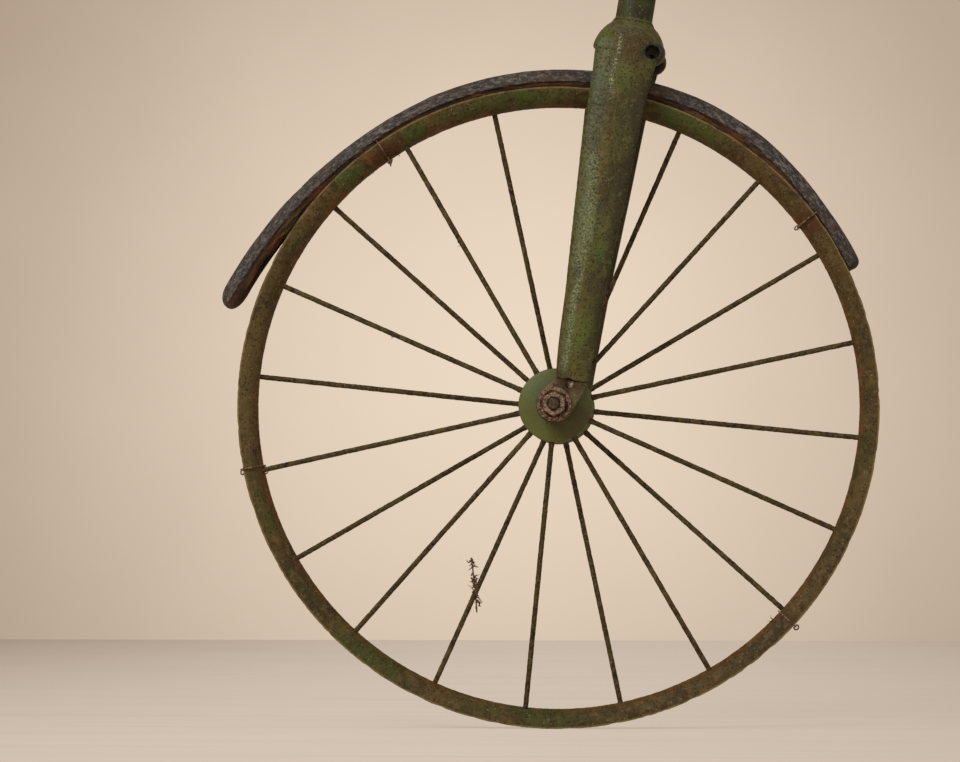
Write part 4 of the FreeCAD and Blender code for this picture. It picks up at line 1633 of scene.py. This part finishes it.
@dataclass
class Fork:
    """Blades, crown, backbone stub and the hardware on the axle."""

    place: ForkPlace
    paint: bpy.types.Material
    neck: bpy.types.Material
    ends: bpy.types.Material
    washers: bpy.types.Material
    nuts: bpy.types.Material
    bolts: bpy.types.Material
    rivets: bpy.types.Material
    join_height: float = 240.9 * MM
    forged_grain: float = 0.7 * MM
    painted: tuple[Relief, ...] = (
        Relief(Grain.LUMPS, 16.0 * MM, 0.2 * MM, 0.55),
        Relief(Grain.LUMPS, 1.8 * MM, 0.08 * MM, 0.55),
    )
    crusted: tuple[Relief, ...] = (
        Relief(Grain.LUMPS, 2.6 * MM, 0.9 * MM, 0.62),
        Relief(Grain.LUMPS, 1.0 * MM, 0.6 * MM, 0.57),
    )

    def forge(self) -> None:
        """Recast crown and blades in one, so that they meet flush, and cut them at the join."""
        pieces = [Bench.recast(node, node + "_copy", self.forged_grain)
                  for node in ("fork_crown", "right_fork_blade", "left_fork_blade")]
        whole = Bench.joined("forging", pieces)
        Bench.apply(whole, "REMESH", mode="VOXEL", voxel_size=self.forged_grain)
        for relief in self.painted:
            relief.raise_on(whole)
        join = self.place.point(self.join_height)
        middle = self.place.axle
        for name, node, cuts in (
                ("crown_casting", "fork_crown", [(join, -self.place.up)]),
                ("right_blade", "right_fork_blade", [(join, self.place.up), (middle, ACROSS)]),
                ("left_blade", "left_fork_blade", [(join, self.place.up), (middle, -ACROSS)])):
            piece = whole.copy()
            piece.data = whole.data.copy()
            piece.name = piece.data.name = name
            bpy.context.scene.collection.objects.link(piece)
            for spot, beyond in cuts:
                Bench.take(piece)
                Bench.edit(True)
                bpy.ops.mesh.select_all(action="SELECT")
                bpy.ops.mesh.bisect(plane_co=spot, plane_no=beyond, use_fill=True, clear_outer=True)
                Bench.edit(False)
            Bench.close(piece)
            finish_piece(piece, "fork", self.paint, [node])
        bpy.data.objects.remove(whole)

    def build(self) -> None:
        """Build each piece in turn."""
        self.forge()
        painted, crusted = self.painted, self.crusted
        CastPart("backbone_stub", "backbone_tube", "fork_paint", 0.65 * MM,
                 painted).build(self.neck)
        CastPart("neck_braze", "braze_ring", "braze", 0.4 * MM, painted).build(self.paint)
        CastPart("axle", "axle_rod", "rusty_steel", 0.45 * MM, crusted[1:]).build(self.bolts)
        for side in ("right", "left"):
            for node, name, slot, grain, reliefs, coat in (
                    ("fork_end", "end_plate", "fork_end_paint", 0.4, painted + crusted[1:],
                     self.ends),
                    ("washer", "plain_washer", "rusty_steel", 0.3, crusted, self.washers),
                    ("axle_nut", "hex_nut", "rusty_steel", 0.3, crusted, self.nuts),
                    ("foot_rivet", "rivet", "rusty_steel", 0.25, crusted[1:], self.rivets),
                    ("cone", "bearing_cone", "rusty_steel", 0.3, (), self.bolts)):
                CastPart(f"{side}_{node}", f"{side}_{name}", slot, grain * MM, reliefs).build(coat)


# --------------------------------------------------------------------------- loose scraps
@dataclass
class Scraps:
    """Shreds of dry cloth and fibre caught on the spokes and ties."""

    place: WheelPlace
    dry: bpy.types.Material
    dark: bpy.types.Material
    hang_across: float = 8.6
    hang_points: tuple[tuple[float, float], ...] = (
        (-58.5, -102.0), (-57.5, -112.0), (-55.8, -126.0), (-55.0, -139.0))
    hang_counts: tuple[int, ...] = (9, 20, 11)
    hang_spreads: tuple[float, ...] = (0.4, 1.1, 0.9)
    # degrees, distance from the axle and across in mm, pull towards the axle, count
    bits: tuple[tuple[float, float, float, float, int], ...] = (
        (120.3, 128.0, -9.75, 0.0, 5), (-45.0, 204.2, -3.0, 2.0, 5),
        (122.4, 204.2, -3.0, 1.0, 3), (127.5, 204.2, -3.0, 1.5, 2),
        (36.0, 204.2, -3.0, 1.0, 3), (156.3, 120.0, -10.4, 0.0, 2))
    shred_steps: int = 12
    seed: int = 7

    def shred(
        self, root: Vector, ahead: Vector, length: float, thick: float, rng: random.Random
    ) -> bpy.types.Object:
        """One curled fibre.

        Args:
            root: Where it starts.
            ahead: Direction in which it starts.
            length: Its length, in metres.
            thick: Its radius at the root, in metres.
            rng: Source of its bends.

        Returns:
            The fibre.
        """
        points, spot, heading = [root], root, ahead.normalized()
        for _ in range(self.shred_steps):
            bend = Vector((rng.uniform(-1, 1), rng.uniform(-0.4, 0.4), rng.uniform(-1, 1))) * 0.6
            heading = (heading + bend).normalized()
            spot = spot + heading * (length / self.shred_steps)
            points.append(spot)
        radii = [thick * (1.0 - 0.07 * row) for row in range(self.shred_steps + 1)]
        return Bench.strand("shred", points, radii)

    def tangle(self, rng: random.Random) -> list[bpy.types.Object]:
        """Long tangle that hangs beside one spoke, fibre by fibre.

        Args:
            rng: Source of its fibres' places and bends.

        Returns:
            The thread and its fibres.
        """
        knots = [Vector((x, self.hang_across, z)) for x, z in self.hang_points]
        thread = [self.place.centre + knot * MM for knot in knots]
        pieces = [Bench.strand("thread", thread, [0.5 * MM] * len(thread))]
        for top, foot, count, spread in zip(
                knots, knots[1:], self.hang_counts, self.hang_spreads):
            for _ in range(count):
                share = rng.random()
                spot = top.lerp(foot, share)
                spot += Vector((rng.gauss(0.0, spread), rng.uniform(-1.0, 1.0), 0.0))
                ahead = Vector((rng.uniform(-0.35, 0.35), rng.uniform(-0.2, 0.2),
                                1.0 if share > 0.5 else -1.0))
                length, thick = rng.uniform(3.5, 7.5) * MM, rng.uniform(0.35, 0.75) * MM
                root = self.place.centre + spot * MM
                pieces.append(self.shred(root, ahead, length, thick, rng))
        return pieces

    def build(self) -> None:
        """Hang the tangle and the small bits."""
        rng = random.Random(self.seed)
        piece = Bench.joined("dry_fibre_scraps", self.tangle(rng))
        finish_piece(piece, "wheel", self.dry)
        shreds = []
        for degrees, radius, across, inward, count in self.bits:
            for _ in range(count):
                root = self.place.point(degrees + rng.uniform(-0.3, 0.3), radius * MM, across * MM)
                ahead = Vector((rng.uniform(-1, 1), rng.uniform(-0.3, 0.3), rng.uniform(-1, 1)))
                ahead -= self.place.radial(degrees) * inward
                shreds.append(self.shred(root, ahead, rng.uniform(2.5, 5.0) * MM, 0.3 * MM, rng))
        piece = Bench.joined("dark_fibre_scraps", shreds)
        finish_piece(piece, "wheel", self.dark)


# --------------------------------------------------------------------------- the studio
@dataclass
class Studio:
    """Plain pale room, soft lamps and the camera."""

    place: WheelPlace
    effects: Effects
    camera_offset: Vector = field(default_factory=lambda: Vector((0.110, -2.2, -0.105)))
    aim_offset: Vector = field(default_factory=lambda: Vector((-0.0522, 0.0, 0.0177)))
    lens_mm: float = 122.2
    sensor_mm: float = 36.0
    wall_behind: float = 2.47
    room_size: float = 9.0
    key_watts: float = 46.0
    fill_watts: float = 14.0
    sky: float = 0.42

    def sheet(self, name: str, spot: Vector, tilt: float) -> bpy.types.Object:
        """Add one square surface of the room.

        Args:
            name: Name of the surface.
            spot: Its middle.
            tilt: Its turn about the sideways axis, in radians.

        Returns:
            The surface.
        """
        Bench.clear()
        bpy.ops.mesh.primitive_grid_add(x_subdivisions=8, y_subdivisions=8, size=self.room_size,
                                        location=spot, rotation=(tilt, 0.0, 0.0))
        return Bench.added(name)

    def room(self) -> None:
        """Floor under the wheel and a wall behind it."""
        ground = CAD_BOX[0][2]
        centre = self.place.centre
        back = centre.y + self.wall_behind
        half = self.room_size / 2.0
        floor = self.sheet("floor", Vector((centre.x, back - half, ground)), 0.0)
        wall = self.sheet("wall", Vector((centre.x, back, ground + half)), math.pi / 2.0)
        floor_coat = RoomSurface(
            "Pale floor", Tint.FLOOR, Tint.FLOOR_DARK,
            Vector((centre.x - 0.08, centre.y + 0.3, ground)),
            reach=1.15, glow=0.72, boards=0.16, depth_share=0.12)
        wall_coat = RoomSurface(
            "Pale wall", Tint.WALL_LIGHT, Tint.WALL_DARK,
            Vector((centre.x - 0.205, back, centre.z + 0.2)), reach=1.09, glow=1.0)
        floor.data.materials.append(floor_coat.material(self.effects))
        wall.data.materials.append(wall_coat.material(self.effects))

    def lamp(
        self, name: str, offset: Vector, size: float, watts: float,
        warmth: tuple[float, float, float]
    ) -> None:
        """Add a soft square lamp that faces the wheel.

        Args:
            name: Name of the lamp.
            offset: Its place from the wheel's centre.
            size: Length of its side, in metres.
            watts: Its power.
            warmth: Its colour.
        """
        spot = self.place.centre + offset
        bpy.ops.object.light_add(type="AREA", location=spot)
        lamp = bpy.context.object
        lamp.name = name
        lamp.data.size = size
        lamp.data.energy = watts
        lamp.data.color = warmth
        lamp.rotation_euler = (self.place.centre - spot).to_track_quat("-Z", "Y").to_euler()

    def lights(self) -> None:
        """Soft key from the upper left, weak fill from the right, and an even sky."""
        self.lamp("key", Vector((-1.3, -1.9, 1.7)), 1.4, self.key_watts, (1.0, 0.97, 0.92))
        self.lamp("fill", Vector((2.1, -2.3, 0.5)), 2.4, self.fill_watts, (1.0, 0.96, 0.9))
        world = bpy.data.worlds.new("Even sky")
        bpy.context.scene.world = world
        world.use_nodes = True
        sky = world.node_tree.nodes["Background"]
        sky.inputs["Color"].default_value = (1.0, 0.97, 0.93, 1.0)
        sky.inputs["Strength"].default_value = self.sky

    def camera(self) -> None:
        """Set the camera at the side of the wheel, a little low."""
        spot = self.place.centre + self.camera_offset
        aim = self.place.centre + self.aim_offset
        bpy.ops.object.camera_add(location=spot)
        camera = bpy.context.object
        camera.rotation_euler = (aim - spot).to_track_quat("-Z", "Y").to_euler()
        camera.data.lens = self.lens_mm
        camera.data.sensor_width = self.sensor_mm
        bpy.context.scene.camera = camera

    def build(self) -> None:
        """Set everything up."""
        self.room()
        self.lights()
        self.camera()
        bpy.context.scene.view_settings.view_transform = "Standard"


@dataclass
class ForkCoats:
    """The fork's finishes, laid out along its line; their places are in millimetres."""

    effects: Effects
    axle: Vector
    place: ForkPlace
    right: float = -32.0
    plate_face: float = -39.0
    rivet_face: float = 37.5

    def patch(
        self, height: float, forward: float, across: float, radius: float, tint: Tint,
        strength: float = 0.8, ragged: float = 0.35
    ) -> Patch:
        """A patch of the fork's paint.

        Args:
            height: Height of its middle along the blades.
            forward: Distance of its middle ahead of the fork's line.
            across: Distance of its middle to the left of the middle plane.
            radius: Its radius.
            tint: Its colour.
            strength: How far it hides the colour below.
            ragged: How ragged its edge is.

        Returns:
            The patch.
        """
        spot = self.place.point(height * MM, forward * MM, across * MM)
        return Patch(spot, radius * MM, tint, strength, ragged)

    def streak(
        self, top: tuple[float, float], foot: tuple[float, float], half_width: float, tint: Tint,
        strength: float, cover: float, speck_scale: float
    ) -> Streak:
        """A streak down the right side of the fork.

        Args:
            top: Height and forward place of its upper end.
            foot: Height and forward place of its lower end.
            half_width: Half its width.
            tint: Its colour.
            strength: How far its specks hide the colour below.
            cover: Share of the streak that its specks cover.
            speck_scale: Scale of its specks.

        Returns:
            The streak.
        """
        start, end = (self.place.point(height * MM, forward * MM, self.right * MM)
                      for height, forward in (top, foot))
        return Streak(start, end, half_width * MM, tint, strength, cover, speck_scale)

    def paint(self) -> bpy.types.Material:
        """Paint of the blades, the crown and the braze: streaked down the right blade's face, with
        painted sheen on its left, painted shade on its right and a painted shadow on the far lug.

        Returns:
            The material.
        """
        right = self.right
        patches = (
            # these two dark patches: painted shade down the right side of the blade, turned from
            # the light
            self.patch(205.0, 24.0, right, 32.0, Tint.OLIVE_DARK, 0.6),
            self.patch(150.0, 21.0, right, 26.0, Tint.OLIVE_DARK, 0.5),
            # these two teal patches: painted sheen on the left of the blade's face
            self.patch(225.0, -8.0, right, 24.0, Tint.TEAL_PAINT_AND_SHEEN, 0.25),
            self.patch(120.0, -2.0, right, 26.0, Tint.TEAL_PAINT_AND_SHEEN, 0.25),
            self.patch(222.0, 7.0, right, 16.0, Tint.BRIGHT_GREEN, 0.3),
            self.patch(105.0, 13.0, right, 13.0, Tint.BRIGHT_GREEN, 0.5),
            self.patch(50.0, 12.0, right, 20.0, Tint.BRIGHT_GREEN, 0.55),
            self.patch(20.0, 0.0, right, 11.0, Tint.OLIVE_DARK, 0.6),
            self.patch(250.0, -12.0, right, 15.0, Tint.MOSS, 0.7),
            self.patch(247.0, 13.0, right, 19.0, Tint.OLIVE_BROWN, 0.85),
            self.patch(257.0, 24.0, right, 16.0, Tint.OLIVE_BROWN, 0.85),
            self.patch(265.0, 7.0, -24.0, 17.0, Tint.CROWN_GREY, 0.8),
            self.patch(268.0, -7.0, -20.0, 10.0, Tint.RUST_BROWN, 0.6),
            # painted shadow over the far side's lug
            self.patch(236.0, 30.0, 14.0, 21.0, Tint.RUST_DARK_AND_SHADE, 0.85, 0.2),
            # a dark spot on each side of the crown
            self.patch(244.2, 26.0, -26.0, 10.0, Tint.DARK_SPOT_AND_BORE_SHADE, 0.95),
            self.patch(244.2, 26.0, 26.0, 10.0, Tint.DARK_SPOT_AND_BORE_SHADE, 0.95))
        streaks = (
            self.streak((235.0, -17.0), (20.0, -8.0), 4.5, Tint.OLIVE_BROWN, 0.75, 0.62, 300.0),
            # painted shade along the blade's right edge
            self.streak((235.0, 24.0), (15.0, 17.0), 6.0, Tint.OLIVE_DARK, 0.75, 0.66, 240.0),
            # teal streak: painted sheen down the left of the blade's face
            self.streak((240.0, -9.0), (110.0, -5.0), 9.0, Tint.TEAL_PAINT_AND_SHEEN, 0.6, 0.42, 420.0),
            self.streak((256.0, 3.0), (205.0, 3.5), 2.6, Tint.SPECK_WHITE, 0.8, 0.36, 800.0),
            self.streak((228.0, 5.0), (130.0, 6.0), 4.5, Tint.RUST_ORANGE, 0.8, 0.32, 420.0),
            self.streak((178.0, 1.0), (85.0, 0.0), 6.5, Tint.SHEEN, 0.75, 0.45, 800.0),
            self.streak((120.0, 7.0), (35.0, 8.0), 4.0, Tint.RUST_ORANGE, 0.75, 0.3, 420.0),
            self.streak((95.0, 1.5), (20.0, 4.0), 4.0, Tint.SHEEN, 0.85, 0.46, 800.0))
        return WeatheredPaint(
            "Blade paint", Tint.OLIVE, Tint.OLIVE_LIGHT, Tint.OLIVE_DARK, stretch=0.3,
            lean=self.place.lean, gloss=0.36, dark_cover=0.4, shine=0.3, pock_scale=470.0,
            pock_amount=0.85, mottle=0.55, fleck_amount=0.12, fleck_scale=820.0, patches=patches,
            streaks=streaks).material(self.effects)

    def neck(self) -> bpy.types.Material:
        """Darker paint of the backbone stub.

        Returns:
            The material.
        """
        return WeatheredPaint(
            "Neck paint", Tint.NECK_BLACK_GREEN, Tint.RIM_GREEN, Tint.OLIVE_DARK,
            fleck_amount=0.14, gloss=0.42, light_cover=0.6,
            patches=(self.patch(272.0, 10.0, self.right, 16.0, Tint.RIM_GREEN, 0.6),)
        ).material(self.effects)

    def ends(self) -> bpy.types.Material:
        """Rusty paint of the blades' end plates.

        Returns:
            The material.
        """
        return WeatheredPaint(
            "Fork end paint", Tint.OLIVE_DARK, Tint.OLIVE, Tint.RUST_BROWN, rust_cover=0.3,
            gloss=0.5,
            patches=(self.patch(0.0, 15.0, self.plate_face, 18.0, Tint.PLATE_OLIVE, 0.9, 0.2),
                     self.patch(8.0, -9.0, self.plate_face, 16.0, Tint.CRUST_PINK, 0.75))
        ).material(self.effects)

    def washers(self) -> bpy.types.Material:
        """Crust of the washers, with a ring of painted shade round the nut.

        Returns:
            The material.
        """
        return CrustedSteel(
            "Crusted washers", Tint.CRUST_PINK, middle=self.axle, pale_amount=0.3,
            # painted shade on the washer round the nut
            rings=(Ring(5.5 * MM, 9.0 * MM, Tint.RUST_DARK_AND_SHADE, 0.8, 0.4),
                   Ring(9.6 * MM, 12.4 * MM, Tint.CRUST_PALE, 0.5, 0.5))).material(self.effects)

    def nuts(self) -> bpy.types.Material:
        """Crust of the axle nuts, with painted shade in the bore.

        Returns:
            The material.
        """
        return CrustedSteel(
            "Crusted nuts", Tint.CRUST_PINK, pale_amount=0.6, dark_cover=0.36, middle=self.axle,
            # painted shade in the nut's bore
            rings=(Ring(0.0 * MM, 4.7 * MM, Tint.DARK_SPOT_AND_BORE_SHADE, 0.9, 0.1),
                   Ring(5.0 * MM, 7.4 * MM, Tint.CRUST_PALE, 0.5, 0.5))).material(self.effects)

    def bolts(self) -> bpy.types.Material:
        """Grey steel of the axle and the cones, with a ring of painted shade where the axle goes
        into the nut.

        Returns:
            The material.
        """
        return CrustedSteel(
            "Axle steel", Tint.CROWN_GREY, Tint.RUBBER_PALE, pale_amount=0.6, middle=self.axle,
            # painted shade round the axle's end, where it goes into the nut
            rings=(Ring(3.4 * MM, 6.0 * MM, Tint.DARK_SPOT_AND_BORE_SHADE, 0.85, 0.2),)).material(self.effects)

    def rivets(self) -> bpy.types.Material:
        """Dark steel of the rivets, with a painted highlight in pale crust colour on their heads.

        Returns:
            The material.
        """
        return CrustedSteel(
            "Rivet steel", Tint.RUST_DARK_AND_SHADE, pale_amount=0.1,
            # painted highlight on each rivet's head
            patches=tuple(self.patch(14.0, 11.0, side, 4.4, Tint.CRUST_PALE, 1.0, 0.05)
                          for side in (-self.rivet_face, self.rivet_face))).material(self.effects)


def rim_patches(wheel: WheelPlace) -> tuple[Patch, ...]:
    """Patches on the rim's right flank.

    Args:
        wheel: Where the wheel stands.

    Returns:
        The patches, the first one lowest.
    """
    flank = -8.0 * MM
    # degrees round the wheel, distance from the axle and radius in mm, tint, strength, raggedness
    rows = (
        (178.0, 211.0, 70.0, Tint.IRON_TAN, 0.45, 0.5),
        (66.0, 211.0, 34.0, Tint.RIM_MOSS, 0.6, 0.5),
        (100.0, 211.0, 36.0, Tint.RIM_GREEN, 0.7, 0.5),
        (93.0, 211.0, 24.0, Tint.RIM_MOSS, 0.6, 0.35),
        (117.0, 211.0, 13.0, Tint.RIM_MOSS, 0.75, 0.45),
        (126.5, 212.0, 7.0, Tint.RUST_ORANGE, 0.35, 0.5),
        (132.0, 211.0, 16.0, Tint.RIM_MOSS, 0.75, 0.45),
        (268.0, 211.0, 30.0, Tint.RIM_GREEN, 0.7, 0.5),
        (232.0, 211.0, 34.0, Tint.RIM_GREEN, 0.7, 0.5),
        (36.0, 210.0, 14.0, Tint.RUST_BROWN, 0.8, 0.35),
        (124.0, 206.0, 14.0, Tint.RUST_BROWN, 0.8, 0.35))
    return tuple(Patch(wheel.point(degrees, reach * MM, flank), radius * MM, tint, strength, ragged)
                 for degrees, reach, radius, tint, strength, ragged in rows)


def main() -> None:
    """Build the wheel, the fork and the studio, in that order."""
    logging.basicConfig(level=logging.INFO, format="%(name)s: %(message)s")
    wheel = WheelPlace(middle_of("axle"))
    mount = frame["record"]["mounts"][0]
    fork = ForkPlace(wheel.centre, Vector(mount["axis"]).normalized())
    effects = Effects()
    rim_coat = RimIron("Rim iron", wheel, RIM_RADIUS, RIM_RADIUS - RIM_DEPTH, rim_patches(wheel))
    Rim(wheel, rim_coat.material(effects)).build()
    Tyre(wheel, PerishedRubber("Perished rubber").material(effects)).build()
    Spokes(wheel, SpokeIron("Spoke iron").material(effects)).build()
    tie_coat = CrustedSteel("Tie wire", Tint.CRUST_PINK, Tint.CRUST_PALE, pale_amount=0.3,
                            dark_cover=0.15)
    Ties(wheel, tie_coat.material(effects)).build()
    hub_flank = -24.0 * MM
    hub_coat = WeatheredPaint(
        "Hub paint", Tint.HUB_GREEN, Tint.TEAL_PAINT_AND_SHEEN, Tint.OLIVE, rust_cover=0.02, dark_cover=0.3,
        light_cover=0.1, fleck_amount=0.015, pock_amount=0.02, mottle=0.1, cloud_scale=22.0,
        gloss=0.34, relief=0.05 * MM,
        patches=(
            # painted shadow of the fork end, cast on the hub's lower right
            Patch(wheel.point(-48.0, 19.0 * MM, hub_flank), 23.0 * MM, Tint.HUB_PAINTED_SHADOW, 0.8, 0.1),
            # painted highlight on the hub's upper left, facing the light
            Patch(wheel.point(142.0, 14.0 * MM, hub_flank), 13.0 * MM, Tint.TEAL_PAINT_AND_SHEEN, 0.7, 0.1)))
    HubShell(hub_coat.material(effects)).build()
    coats = ForkCoats(effects, wheel.centre, fork)
    Fork(fork, coats.paint(), coats.neck(), coats.ends(), coats.washers(), coats.nuts(),
         coats.bolts(), coats.rivets()).build()
    dry = CrustedSteel("Dry fibre", Tint.CRUST_PINK, Tint.FIBRE, Tint.RUST_BROWN, 0.4, 0.4)
    dark = CrustedSteel("Dark fibre", Tint.RUST_DARK_AND_SHADE, Tint.DUST, Tint.RUST_DARK_AND_SHADE, 0.1)
    Scraps(wheel, dry.material(effects), dark.material(effects)).build()
    Studio(wheel, effects).build()


if __name__ == "__main__":
    main()
